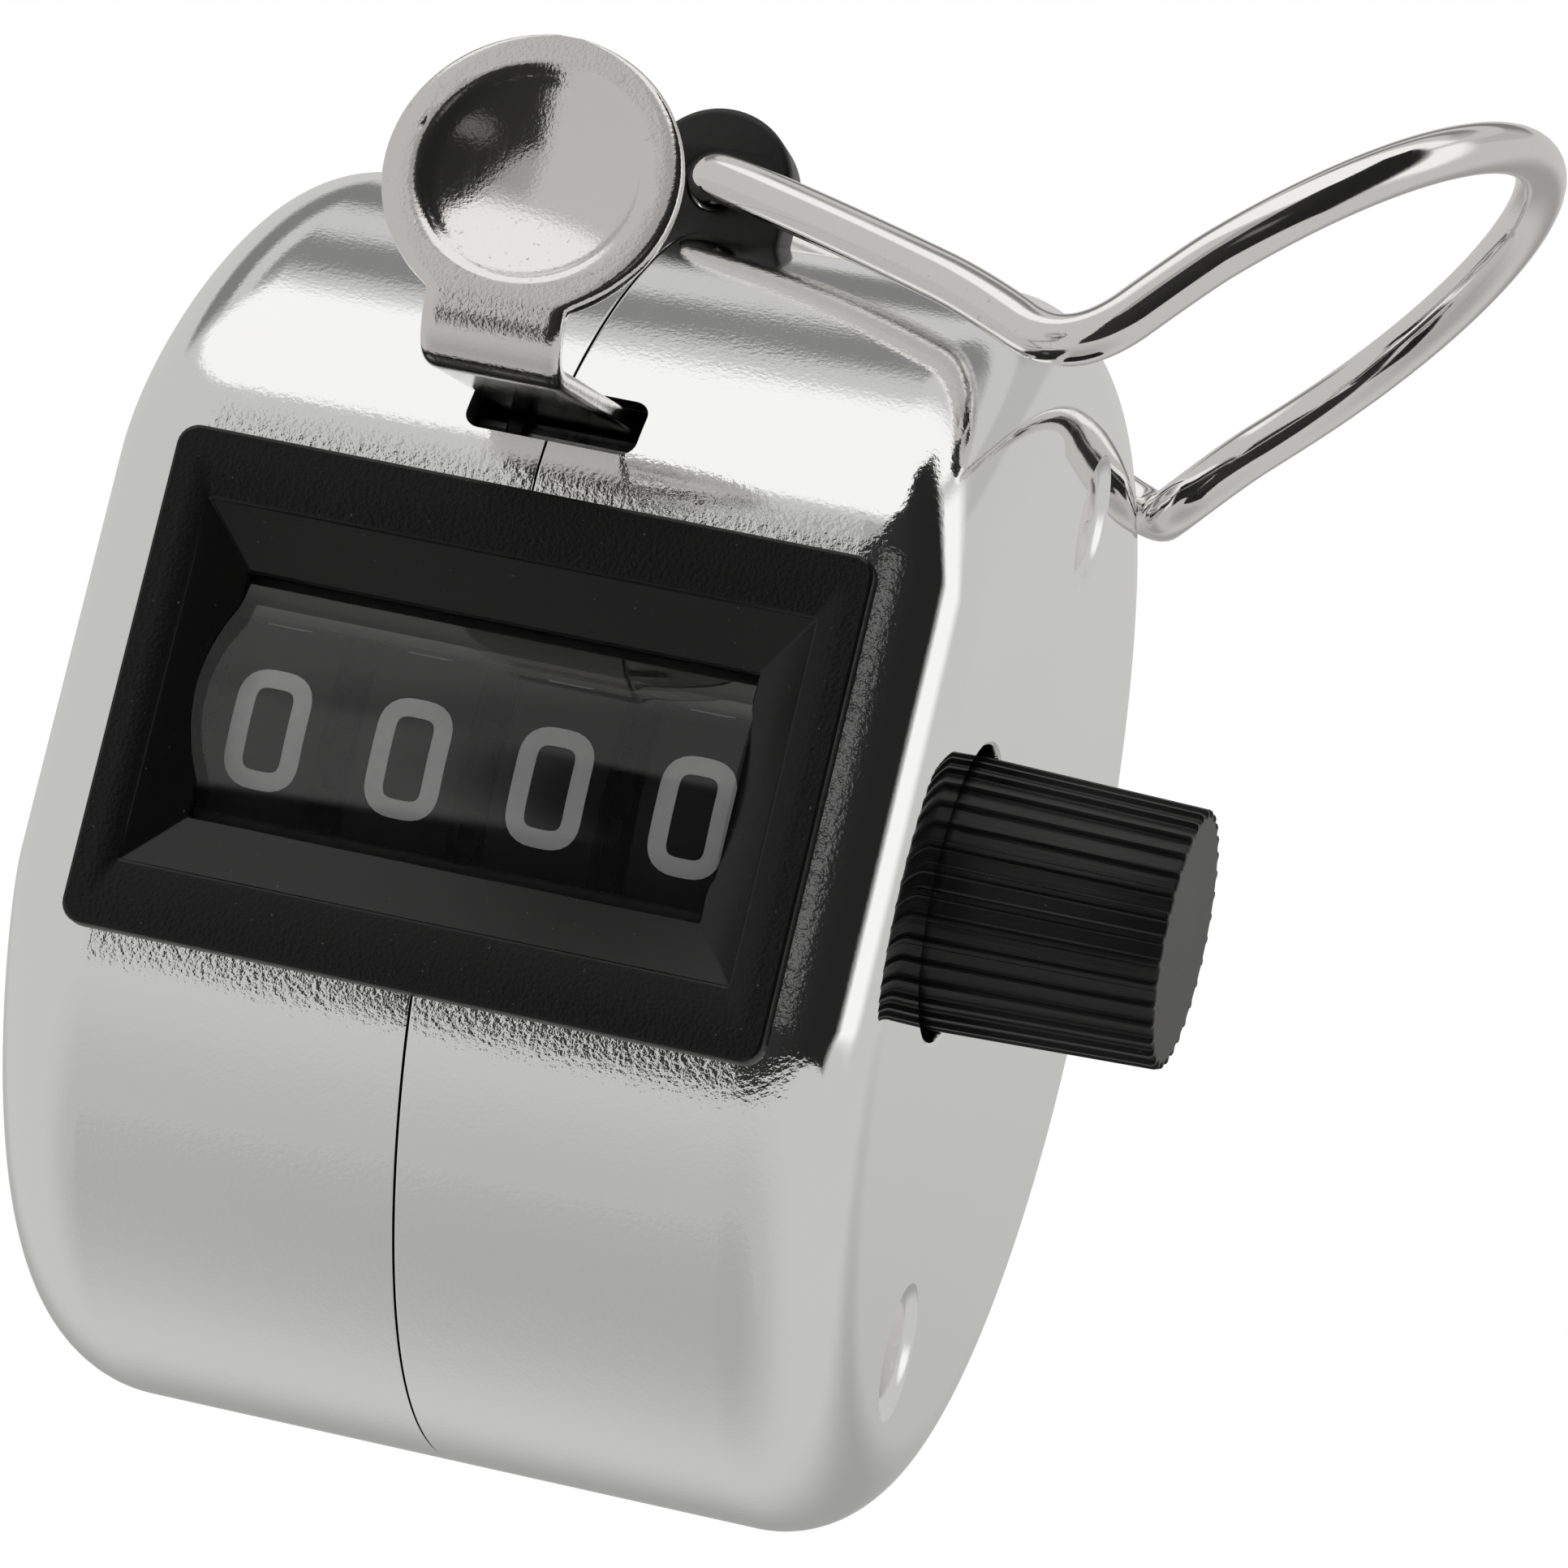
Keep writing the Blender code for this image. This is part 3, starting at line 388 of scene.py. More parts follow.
def chrome_case():
    """Plated plastic: orange peel on the drum, fading out on the flat sides, with faint scuffs."""
    material, n, shader = new_material("case_chrome")
    position = n.position()
    normal = n.add("ShaderNodeTexCoord", output=1)
    across = n.math("ABSOLUTE", n.add("ShaderNodeSeparateXYZ", inputs={0: normal}))
    drum = n.ramp(across, 0.35, 0.8, 1.0, 0.0)
    patches = n.ramp(n.noise(position, 6.0, 2.0), 0.35, 0.65, 0.5, 1.0)
    split = n.tree.nodes.new("ShaderNodeSeparateXYZ")
    n.feed(split.inputs[0], position)
    beside = n.math("SUBTRACT", n.math("ABSOLUTE", n.math("SUBTRACT", split.outputs[0], SEAM_X)), 13.25 * MM)
    beyond = n.math("SUBTRACT", n.math("ABSOLUTE", split.outputs[2]), 9.4 * MM)
    by_window = n.ramp(n.math("MAXIMUM", beside, beyond), 0.7 * MM, 1.5 * MM, 2.6, 1.0)
    peel = n.noise(position, 0.1, 2.0, 0.55)
    slow = n.noise(position, 2.2, 2.0)
    fine = bump(n, n.math("MULTIPLY", peel, by_window), 0.009,
                n.math("MULTIPLY", n.math("ADD", drum, 0.05), patches))
    waved = bump(n, slow, 0.02, 0.15, fine)
    scuffs = n.noise(n.stretched(position, (1.0, 0.35, 0.35)), 0.5, 4.0, 0.7)
    rough = n.math("ADD", n.ramp(drum, 0.0, 1.0, 0.035, 0.07), n.ramp(scuffs, 0.55, 0.8, 0.0, 0.05))
    n.feed(shader.inputs["Base Color"], n.mix(n.noise(position, 9.0), colour(0.93, (1.0, 1.0, 0.995)),
                                              colour(0.9, (0.985, 0.995, 1.0))))
    n.feed(shader.inputs["Metallic"], 1.0)
    n.feed(shader.inputs["Roughness"], rough)
    n.feed(shader.inputs["Normal"], waved)
    return material


def plated_steel(name, value, tint, rough, wear, grain_mm=0.0):
    """Nickel-plated steel with drawing marks, rubbed specks and a fine surface grain."""
    material, n, shader = new_material(name)
    position = n.position()
    marks = n.noise(n.stretched(position, (3.0, 1.0, 0.4)), 0.35, 4.0, 0.7)
    specks = n.ramp(n.noise(position, 0.16, 3.0, 0.7), 0.6, 0.72, 0.0, 1.0)
    areas = n.ramp(n.noise(position, 3.0, 2.0), 0.5, 0.66, 0.0, wear)
    worn = n.math("MULTIPLY", specks, areas)
    n.feed(shader.inputs["Base Color"], n.mix(worn, colour(value, tint), colour(value * 0.4, tint)))
    n.feed(shader.inputs["Metallic"], 1.0)
    n.feed(shader.inputs["Roughness"], n.math("ADD", n.ramp(marks, 0.3, 0.8, rough, rough + 0.07),
                                              n.math("MULTIPLY", worn, 0.25)))
    grain = bump(n, n.noise(position, 0.07, 2.0, 0.6), grain_mm, 1.0)
    n.feed(shader.inputs["Normal"], bump(n, marks, 0.003, 0.3, grain))
    return material


def black_plastic(name, value, rough, grain_mm, depth_mm, streaks=(1.0, 1.0, 1.0), gloss=0.5):
    """Moulded black plastic with a grain, slight fading and dust."""
    material, n, shader = new_material(name)
    position = n.position()
    grain = n.noise(n.stretched(position, streaks), grain_mm, 2.0, 0.5)
    cloud = n.noise(position, 4.0, 3.0)
    dust = n.ramp(n.noise(position, 0.09, 1.0), 0.76, 0.82, 0.0, 0.5)
    base = n.mix(cloud, colour(value * 0.8), colour(value * 1.3, (1.0, 0.99, 0.97)))
    n.feed(shader.inputs["Base Color"], n.mix(dust, base, colour(0.12)))
    n.feed(shader.inputs["Roughness"], n.math("ADD", n.ramp(cloud, 0.3, 0.7, rough, rough + 0.08),
                                              n.math("MULTIPLY", dust, 0.2)))
    n.feed(shader.inputs["Normal"], bump(n, grain, depth_mm, 1.0))
    shader.inputs["Specular IOR Level"].default_value = gloss
    return material


def printed_grey():
    material, n, shader = new_material("number_print")
    position = n.position()
    patchy = n.noise(position, 0.25, 4.0, 0.65)
    n.feed(shader.inputs["Base Color"], n.mix(patchy, colour(0.56, (1.0, 1.01, 1.02)), colour(0.72)))
    n.feed(shader.inputs["Roughness"], n.ramp(patchy, 0.3, 0.7, 0.45, 0.6))
    n.feed(shader.inputs["Normal"], bump(n, patchy, 0.006, 0.4))
    return material


def clear_plastic():
    """Thin clear cover: see-through, with a weak reflection and a trace of haze."""
    material, n, _ = new_material("window_clear")
    tree = material.node_tree
    tree.nodes.clear()
    position = n.position()
    haze = n.noise(position, 1.5, 4.0, 0.7)
    rough = n.ramp(haze, 0.3, 0.8, 0.01, 0.05)
    leaning = n.add("ShaderNodeVectorMath", operation="ADD",
                    inputs={0: n.add("ShaderNodeNewGeometry", output=1), 1: (0.018, 0.0, 0.0)})
    leaning = n.add("ShaderNodeVectorMath", operation="NORMALIZE", inputs={0: leaning})
    glossy = n.add("ShaderNodeBsdfGlossy", inputs={"Color": colour(1.0), "Roughness": rough,
                                                   "Normal": bump(n, haze, 0.004, 0.2, leaning)})
    clear = n.add("ShaderNodeBsdfTransparent", inputs={"Color": colour(0.97)})
    film = n.add("ShaderNodeBsdfDiffuse", inputs={"Color": colour(0.6)})
    facing = n.add("ShaderNodeFresnel", inputs={"IOR": 1.5})
    body = n.add("ShaderNodeMixShader", inputs={0: n.ramp(haze, 0.4, 0.9, 0.002, 0.007), 1: clear, 2: film})
    surface = n.add("ShaderNodeMixShader", inputs={0: facing, 1: body, 2: glossy})
    output = tree.nodes.new("ShaderNodeOutputMaterial")
    tree.links.new(surface, output.inputs["Surface"])
    return material


def metal(name, tone, rough):
    """Plain plated or brass part inside the case, with stamping marks."""
    material, n, shader = new_material(name)
    position = n.position()
    marks = n.noise(n.stretched(position, (1.0, 6.0, 1.0)), 0.3, 4.0, 0.6)
    n.feed(shader.inputs["Base Color"], n.mix(marks, (*[c * 0.8 for c in tone], 1.0), (*tone, 1.0)))
    n.feed(shader.inputs["Metallic"], 1.0)
    n.feed(shader.inputs["Roughness"], n.ramp(marks, 0.3, 0.7, rough, rough + 0.15))
    n.feed(shader.inputs["Normal"], bump(n, marks, 0.004, 0.4))
    return material


# ---------------------------------------------------------------- case

def case_outline():
    top, rear, bottom = Vector((8.2, 24.2)), Vector((33.5, -1.5)), Vector((10.0, -23.8))
    flat_top, flat_bottom = Vector((FRONT_Y, 9.9)), Vector((FRONT_Y, -7.8))
    spans = (
        (flat_top, flat_top + Vector((0, 4.8)), top - Vector((9.4, 0)), top),
        (top, top + Vector((14.7, 0)), rear + Vector((0, 14.9)), rear),
        (rear, rear - Vector((0, 12.0)), bottom + Vector((12.7, 0)), bottom),
        (bottom, bottom - Vector((14.9, 0)), flat_bottom - Vector((0, 2.5)), flat_bottom),
    )
    outline = []
    for span in spans:
        outline += interpolate_bezier(*span, 45)[:-1]
    outline += [flat_bottom.lerp(flat_top, step / 12) for step in range(12)]
    return [Vector((point[0], point[1])) for point in outline]


def case_ring(side, share, x):
    """Outline shrunk about the middle of the case, at a distance from the seam."""
    ring = []
    for point in case_outline():
        y, z = CASE_CENTRE + (point - CASE_CENTRE) * share
        ring.append((side * x, y, z))
    return ring


def case_profile(half_width, scale):
    """(share of the outline, distance from the seam) from the seam to the flat side."""
    profile = [(scale - 0.003, SEAM_HALF_GAP), (scale - 0.0008, SEAM_HALF_GAP + 0.03),
               (scale, SEAM_HALF_GAP + 0.1)]
    start = half_width - RIM_RADIUS
    profile += [(scale, start * step / 5) for step in range(1, 6)]
    for step in range(1, 25):
        angle = math.radians(90 * step / 24)
        profile.append((scale - RIM_SHARE * (1 - math.cos(angle)), start + RIM_RADIUS * math.sin(angle)))
    return profile + [(scale - RIM_SHARE - 0.01, half_width)]


def pocket_cutter(level):
    """Recess for a case screw, with a soft lip."""
    profile = [(DIMPLE_FLOOR_X, 0.001), (DIMPLE_FLOOR_X, 1.9)]
    lip = 0.2
    for angle in range(0, 181, 15):
        height = DIMPLE_FLOOR_X + lip * (1 - math.cos(math.radians(angle)))
        profile.append((height, 1.95 + 0.85 * angle / 180))
    profile += [(16.9, 2.85), (16.9, 0.001)]
    return lathe("pocket", profile, 48, (SCREW_Y, level * SCREW_Z), closed=False)


def in_pocket(offset):
    """Whether a point lies in one of the recesses for the case screws or the knob's hole."""
    near = min(math.hypot(offset.y - SCREW_Y, abs(offset.z) - SCREW_Z), math.hypot(offset.y, offset.z) - 2.9)
    return offset.x > 15.4 and near < 3.1


def case_half(name, side, material):
    outer = [case_ring(side, share, x) for share, x in case_profile(HALF_WIDTH, 1.0)]
    inner = [case_ring(side, share, x) for share, x in case_profile(HALF_WIDTH - 1.2, 1.0 - WALL_SHARE)]
    mesh = loft(name, outer[::-1] + inner)
    if side > 0:
        post = [(1.0, 0.001), (1.0, 3.2), (15.9, 3.2), (15.9, 0.001)]
        bosses = [lathe("boss", post, 48, (SCREW_Y, level * SCREW_Z), closed=False) for level in (1, -1)]
        mesh = combine(mesh, "UNION", *bosses)
    cutters = [slab("window_opening", (-12.1, -14, -7.9), (12.1, -9.0, 7.9)),
               loft("lever_slot", [[(x, y, 12.65 + z) for x, z in rounded_rectangle(6.5, 2.3, 0.6)]
                                   for y in (-14, -8.9)]),
               slab("lug_slot", (-3.3, LUG_Y[0] - 0.2, 21.0), (3.3, LUG_Y[1] + 0.2, 26.0))]
    if side > 0:
        cutters += [pocket_cutter(1), pocket_cutter(-1)]
        hole = [(13.0, 0.001), (13.0, 5.6), (16.2, 5.6), (16.42, 5.65), (16.55, 5.85), (17.5, 5.9),
                (17.5, 0.001)]
        cutters.append(lathe("knob_hole", hole, 96, closed=False))
    mesh = combine(mesh, "DIFFERENCE", *cutters)
    word = "left" if side < 0 else "right"
    shell = piece(name, mesh, material, "case", [f"{word}_case_half"], 30)
    for face in mesh.polygons:
        offset = face.center / MM - place(0, 0, 0) / MM
        toward = Vector((0, offset.y - CASE_CENTRE.x, offset.z))
        near_slot = abs(offset.x) < 3.3 and offset.y < -8 and 11.4 < offset.z < 13.9
        in_slot = near_slot and abs(face.normal.y) < 0.2
        facing_in = face.normal.dot(toward) < -1.0 or face.normal.x * side < -0.9
        face.material_index = 1 if (facing_in and not in_pocket(offset)) or in_slot else 0
    weight_normals(shell, 80)


def case_screw(name, level, material):
    """Domed cross-head screw."""
    centre = (SCREW_Y, level * SCREW_Z)
    top, radius, fall = 16.3, 1.85, 0.12
    head = [(top, 0.001)]
    for angle in range(9, 91, 9):
        out = math.sin(math.radians(angle))
        head.append((top - fall * out ** 4, radius * out))
    profile = head + [(16.14, 1.86), (16.13, 1.1), (-6.5, 1.1), (-7.5, 0.4), (-7.5, 0.001)]
    mesh = lathe(name, profile, 48, centre, closed=False)
    tools = []
    for turn in (38, 128):
        angle = math.radians(turn)
        along = Vector((math.cos(angle), math.sin(angle)))
        across = Vector((-along.y, along.x))
        rings = []
        for x, long, wide in ((16.05, 0.35, 0.1), (16.6, 1.25, 0.4)):
            corners = ((long, wide), (-long, wide), (-long, -wide), (long, -wide))
            rings.append([(x, *(Vector(centre) + along * a + across * b)) for a, b in corners])
        tools.append(loft("cross", rings))
    piece(name, combine(mesh, "DIFFERENCE", *tools), material, "case", [name], 28)


# ---------------------------------------------------------------- window

def window_frame(face_material, bevel_material):
    """Black surround: grained face, mitred smooth bevels, straight walls down to the clear cover."""
    sizes = (
        (26.5, 18.85, 0.8, -12.05), (26.5, 18.85, 0.8, -12.7), (26.42, 18.77, 0.77, -12.83),
        (26.2, 18.55, 0.7, -12.9), (25.0, 17.3, 0.55, -12.9), (23.26, 13.86, 0.2, -12.9),
        (23.1, 13.7, 0.12, -12.86), (22.98, 13.58, 0.1, -12.77), (19.5, 9.4, 0.1, -11.7),
        (19.4, 9.3, 0.1, -11.6), (19.36, 9.26, 0.1, -11.45), (19.36, 9.26, 0.1, -9.5),
        (23.8, 15.4, 0.3, -9.5), (23.8, 15.4, 0.3, -12.05),
    )
    rings = []
    for width, height, corner, y in sizes:
        rings.append([(x, y, z) for x, z in rounded_rectangle(width, height, corner)])
    mesh = loft("window_frame", rings, cyclic=True)
    radius = LENS_RADIUS + 0.06
    pocket = [(-10.8, 0.001), (-10.8, radius), (9.92, radius), (9.92, 0.001)]
    clearance = [(0.0, 0.001), (0.0, 10.3), (10.8, 10.3), (10.8, 0.001)]
    mesh = combine(mesh, "DIFFERENCE", lathe("lens_pocket", pocket, 192, closed=False),
                   lathe("wheel_clearance", clearance, 96, closed=False))
    piece("window_frame", mesh, [face_material, bevel_material], "case", ["bezel_frame"], 28)
    for face in mesh.polygons:
        flat_front = face.normal.y < -0.97
        outside = abs(face.center.x - SEAM_X) > 13.1 * MM or abs(face.center.z) > 9.3 * MM
        face.material_index = 0 if flat_front or outside else 1


def window_cover(material):
    """Curved clear cover; its left end runs on under the frame."""
    low, high = 180 - LENS_HALF_ANGLE, 180 + LENS_HALF_ANGLE
    outline = arc((0, 0), LENS_RADIUS, low, high, 48)
    outline += arc((0, 0), LENS_RADIUS - LENS_THICKNESS, high, low, 48)
    rings = [[(x, y, z) for y, z in outline] for x in (-10.7, -5.0, 0.0, 5.0, 9.85)]
    piece("window_cover", loft("window_cover", rings), material, "case", ["window_lens"], 30)


def window_shades(material):
    """Two curved strips behind the cover that hide the numbers above and below the one being read."""
    for name, start, end in (("upper_shade", 146.5, 162.6), ("lower_shade", 202.2, 213.5)):
        outline = arc((0, 0), SHADE_RADII[1], start, end, 20) + arc((0, 0), SHADE_RADII[0], end, start, 20)
        rings = [[(x, y, z) for y, z in outline] for x in (-10.7, -3.5, 3.5, 9.85)]
        piece(name, loft(name, rings), material, "case", angle=30)


# ---------------------------------------------------------------- number wheels

def digit_strokes():
    """Centre lines of the ten digits in a unit box, drawn in the plain rounded style of the zero."""
    a = 0.5
    box = [(-a, -a), (a, -a), (a, a), (-a, a)]
    return (
        [(box, True)],
        [([(-0.3, 0.32), (0.05, a), (0.05, -a)], False)],
        [([(-a, a), (a, a), (a, 0), (-a, 0), (-a, -a), (a, -a)], False)],
        [([(-a, a), (a, a), (a, -a), (-a, -a)], False), ([(-0.15, 0), (a, 0)], False)],
        [([(-a, a), (-a, -0.1), (a, -0.1)], False), ([(0.25, 0.3), (0.25, -a)], False)],
        [([(a, a), (-a, a), (-a, 0.05), (a, 0.05), (a, -a), (-a, -a)], False)],
        [([(a, a), (-a, a), (-a, -a), (a, -a), (a, 0), (-a, 0)], False)],
        [([(-a, a), (a, a), (-0.1, -a)], False)],
        [(box, True), ([(-a, 0), (a, 0)], False)],
        [([(a, 0), (-a, 0), (-a, a), (a, a), (a, -a), (-a, -a)], False)],
    )


def rounded_path(points, closed, radius):
    """Cut each corner back by the radius with an arc, then split long runs."""
    count = len(points)
    path = []
    for index, point in enumerate(points):
        here = Vector(point)
        if not closed and index in (0, count - 1):
            path.append(here)
            continue
        before, after = Vector(points[index - 1]), Vector(points[(index + 1) % count])
        reach = min(radius, (before - here).length / 2, (after - here).length / 2)
        start = here + (before - here).normalized() * reach
        end = here + (after - here).normalized() * reach
        for step in range(7):
            share = step / 6
            path.append(start.lerp(here, share).lerp(here.lerp(end, share), share))
    dense = []
    for index, here in enumerate(path):
        dense.append(here)
        if closed or index + 1 < len(path):
            after = path[(index + 1) % len(path)]
            splits = int((after - here).length / 0.35)
            dense += [here.lerp(after, step / (splits + 1)) for step in range(1, splits + 1)]
    return dense


def add_stroke(shape, path, closed, x, angle, lift):
    """A printed stroke: a thin band wrapped on the drum."""
    half = DIGIT_STROKE / 2
    top, base = DRUM_RADIUS + lift, DRUM_RADIUS - 0.03
    grid = []
    count = len(path)
    for index, here in enumerate(path):
        before = path[index - 1] if closed or index else here
        after = path[(index + 1) % count] if closed or index + 1 < count else here
        along = (after - before).normalized()
        side = Vector((-along.y, along.x)) * half
        ring = []
        for share, radius in ((1, base), (0.96, top), (-0.96, top), (-1, base)):
            point = here + side * share
            turn = math.radians(angle) + point.y / DRUM_RADIUS
            spot = place(x + point.x, -radius * math.cos(turn), radius * math.sin(turn))
            ring.append(shape.verts.new(spot))
        grid.append(ring)
    add_skin(shape, grid, closed)


def wheel_numbers(order, x, material):
    shape = bmesh.new()
    across, up = DIGIT_WIDTH - DIGIT_STROKE, DIGIT_HEIGHT - DIGIT_STROKE
    for value, strokes in enumerate(digit_strokes()):
        angle = FIRST_DIGIT_ANGLE - 36 * value
        for level, (points, closed) in enumerate(strokes):
            scaled = [(px * across, py * up) for px, py in points]
            path = rounded_path(scaled, closed, DIGIT_CORNER)
            add_stroke(shape, path, closed, x, angle, 0.03 + 0.006 * level)
    piece(f"{order}_numbers", to_mesh(shape, f"{order}_numbers"), material, f"{order}_wheel",
          angle=40)


def wheel_drum(order, x, material):
    """Moulded wheel: rim with rounded edges, thin web, hub, and a carry gear in the groove."""
    half, edge = DRUM_HALF_WIDTH, 0.18
    profile = [(half, 1.6), (half, 6.6), (0.6, 6.7), (0.6, 8.6), (half, 8.6), (half, DRUM_RADIUS - edge),
               (half - 0.3 * edge, DRUM_RADIUS - 0.3 * edge), (half - edge, DRUM_RADIUS),
               (0.0, DRUM_RADIUS), (edge - half, DRUM_RADIUS), (0.3 * edge - half, DRUM_RADIUS - 0.3 * edge),
               (-half, DRUM_RADIUS - edge), (-half, 8.6), (-0.6, 8.6), (-0.6, 6.7), (-half - 0.5, 6.7),
               (-half - 0.5, 6.1), (-0.4, 6.1), (-0.4, 1.6)]
    mesh = lathe(f"{order}_drum", [(x + along, radius) for along, radius in profile], 144)
    if order != "units":
        pitch_radius = 11 * 20 / 28
        root, tip, pitch = pitch_radius - 0.55, pitch_radius + 0.36, 18.0
        outline = []
        for tooth in range(20):
            middle = -26 + tooth * pitch
            for radius, turn in ((root, -0.3), (tip, -0.15), (tip, 0.15), (root, 0.3)):
                angle = math.radians(middle + turn * pitch)
                outline.append((radius * math.cos(angle), radius * math.sin(angle)))
        ends = (x + half - 0.5, x + half + 0.5)
        gear = loft("gear", [[(level, y, z) for y, z in outline] for level in ends])
        bore = lathe("bore", [(x + half - 1, 0.001), (x + half - 1, 5.0), (x + half + 1, 5.0),
                              (x + half + 1, 0.001)], 48, closed=False)
        mesh = combine(mesh, "UNION", combine(gear, "DIFFERENCE", bore))
    piece(f"{order}_drum", mesh, material, f"{order}_wheel", [f"{order}_wheel"], 35)


# ---------------------------------------------------------------- lever

def lever_line():
    """Centre line (y, z) of the strip and the pad, the pad's middle, and the direction up the pad."""
    slope = math.radians(STRIP_SLOPE)

    def height(y):
        return 13.05 + (y + 10.7) * math.tan(slope)

    up = Vector((math.sin(PAD_TILT), math.cos(PAD_TILT)))
    middle = PAD_CENTRE + Vector((up.y, -up.x)) * STRIP_HALF_THICKNESS
    neck = middle - up * 4.55
    rear, bend = Vector((-5.9, height(-5.9))), Vector((-21.55, height(-21.55)))
    corners = [rear, bend.lerp(rear, 0.12), bend + Vector((-0.75, -0.1)),
               neck - up * 0.75 + Vector((0.06, 0)), neck + up * 0.6, middle + up * (PAD_RADIUS + 0.1)]
    dense = []
    for first, second in zip(corners, corners[1:]):
        steps = max(1, int((second - first).length / 2.0))
        dense += [first.lerp(second, step / steps) for step in range(steps)]
    dense.append(corners[-1])
    line = softened(dense, False, 3)
    return [Vector(point) for point in line], middle, up


def pad_half_width(above):
    """Half width of the plate at a height above the pad's centre: strip, filleted shoulder, then disc."""
    if above >= PAD_RADIUS:
        return 0.0
    disc = math.sqrt(max(PAD_RADIUS ** 2 - above ** 2, 0.0)) if above > -PAD_RADIUS else 0.0
    if above > -3.4:
        return disc
    fillet = 0.9
    return (max(disc, STRIP_HALF_WIDTH) ** 8 + (STRIP_HALF_WIDTH * fillet) ** 8) ** 0.125


def lever_sections():
    """Places along the strip and the pad: (point, direction, height above the pad's centre)."""
    line, _, _ = lever_line()
    total = [0.0]
    for first, second in zip(line, line[1:]):
        total.append(total[-1] + (second - first).length)
    centre_at = total[-1] - PAD_RADIUS - 0.1
    stops = [distance for distance in total if distance < centre_at - PAD_RADIUS]
    stops += [centre_at - PAD_RADIUS * math.cos(math.radians(angle)) for angle in range(8, 180, 4)]
    stops.append(centre_at + PAD_RADIUS * 0.9995)
    sections = []
    for stop in stops:
        index = max(i for i, distance in enumerate(total) if distance <= stop or i == 0)
        index = min(index, len(line) - 2)
        share = (stop - total[index]) / (total[index + 1] - total[index])
        point = line[index].lerp(line[index + 1], share)
        along = (line[min(index + 2, len(line) - 1)] - line[max(index - 1, 0)]).normalized()
        sections.append((point, along, stop - centre_at))
    return sections


def pad_turned(name, profile):
    """Turn (height above the pad's front face, radius) points about the pad's axis."""
    _, middle, up = lever_line()
    outward = Vector((-up.y, up.x))
    face = middle + outward * STRIP_HALF_THICKNESS
    rings = []
    for height, radius in profile:
        ring = []
        for step in range(120):
            angle = math.tau * step / 120
            spot = face + outward * height + up * (radius * math.sin(angle))
            ring.append((radius * math.cos(angle), spot.x, spot.y))
        rings.append(ring)
    return loft(name, rings)


def stamped_dish(plate):
    """Press a dish with a steeper rim into the pad: cut the front, add the bulge it leaves behind."""
    thickness = 2 * STRIP_HALF_THICKNESS
    steps = 44
    depth, front = 0.0, []
    for step in range(steps):
        radius = (DISH_RADIUS + 0.3) * (1 - step / steps)
        if radius > DISH_RADIUS - 0.2:
            slope = 38 * (DISH_RADIUS + 0.3 - radius) / 0.5
        elif radius > DISH_RADIUS - 0.7:
            slope = 38 - 14 * (DISH_RADIUS - 0.2 - radius) / 0.5
        else:
            slope = 24 * radius / (DISH_RADIUS - 0.7)
        front.append((-depth, radius))
        depth += math.tan(math.radians(slope)) * (DISH_RADIUS + 0.3) / steps
    front.append((-depth, 0.001))
    rear = [(height - thickness, radius + 0.3) for height, radius in front[:-1]]
    rear.append((-depth - thickness, 0.001))
    dent = pad_turned("dent", [(0.3, 0.001), (0.3, DISH_RADIUS + 0.4), *front])
    bulge = pad_turned("bulge", [(-0.5, 0.001), (-0.5, DISH_RADIUS + 0.4), *rear[2:]])
    return combine(combine(plate, "UNION", bulge), "DIFFERENCE", dent)


def lever_plate(material):
    """Strip and thumb pad as one pressed plate with rounded edges."""
    rings = []
    steps, half, edge = 26, STRIP_HALF_THICKNESS, 0.24
    for point, along, above in lever_sections():
        width = max(pad_half_width(above), 0.03)
        outward = Vector((-along.y, along.x))
        thick = half * min(1.0, width / 0.5)
        round_off, drop = min(0.42, width * 0.45), min(edge, thick)
        ring = []
        for face in (1, -1):
            for step in range(steps + 1):
                share = -1 + 2 * step / steps
                ring.append((face * share * (width - round_off), face * thick))
            turns = [math.radians(angle) for angle in (22.5, 45, 67.5, 90)]
            corner = [(width - round_off * (1 - math.sin(turn)), thick - drop * (1 - math.cos(turn)))
                      for turn in turns]
            ring += [(face * x, face * offset) for x, offset in corner]
            ring += [(face * x, -face * offset) for x, offset in corner[::-1]]
        placed = []
        for x, offset in ring:
            spot = point + outward * offset
            placed.append((x, spot.x, spot.y))
        rings.append(placed)
    mesh = stamped_dish(loft("lever_plate", rings))
    plate = piece("lever_plate", mesh, material, "lever", ["thumb_lever"], 50)
    weight_normals(plate, 90)


def hull_outline(circles):
    points = sorted(point for centre, radius in circles for point in arc(centre, radius, 0, 345, 23))

    def half(ordered):
        chain = []
        for point in ordered:
            while len(chain) > 1 and (
                    (chain[-1][0] - chain[-2][0]) * (point[1] - chain[-2][1])
                    - (chain[-1][1] - chain[-2][1]) * (point[0] - chain[-2][0])) <= 0:
                chain.pop()
            chain.append(point)
        return chain[:-1]

    return half(points) + half(points[::-1])


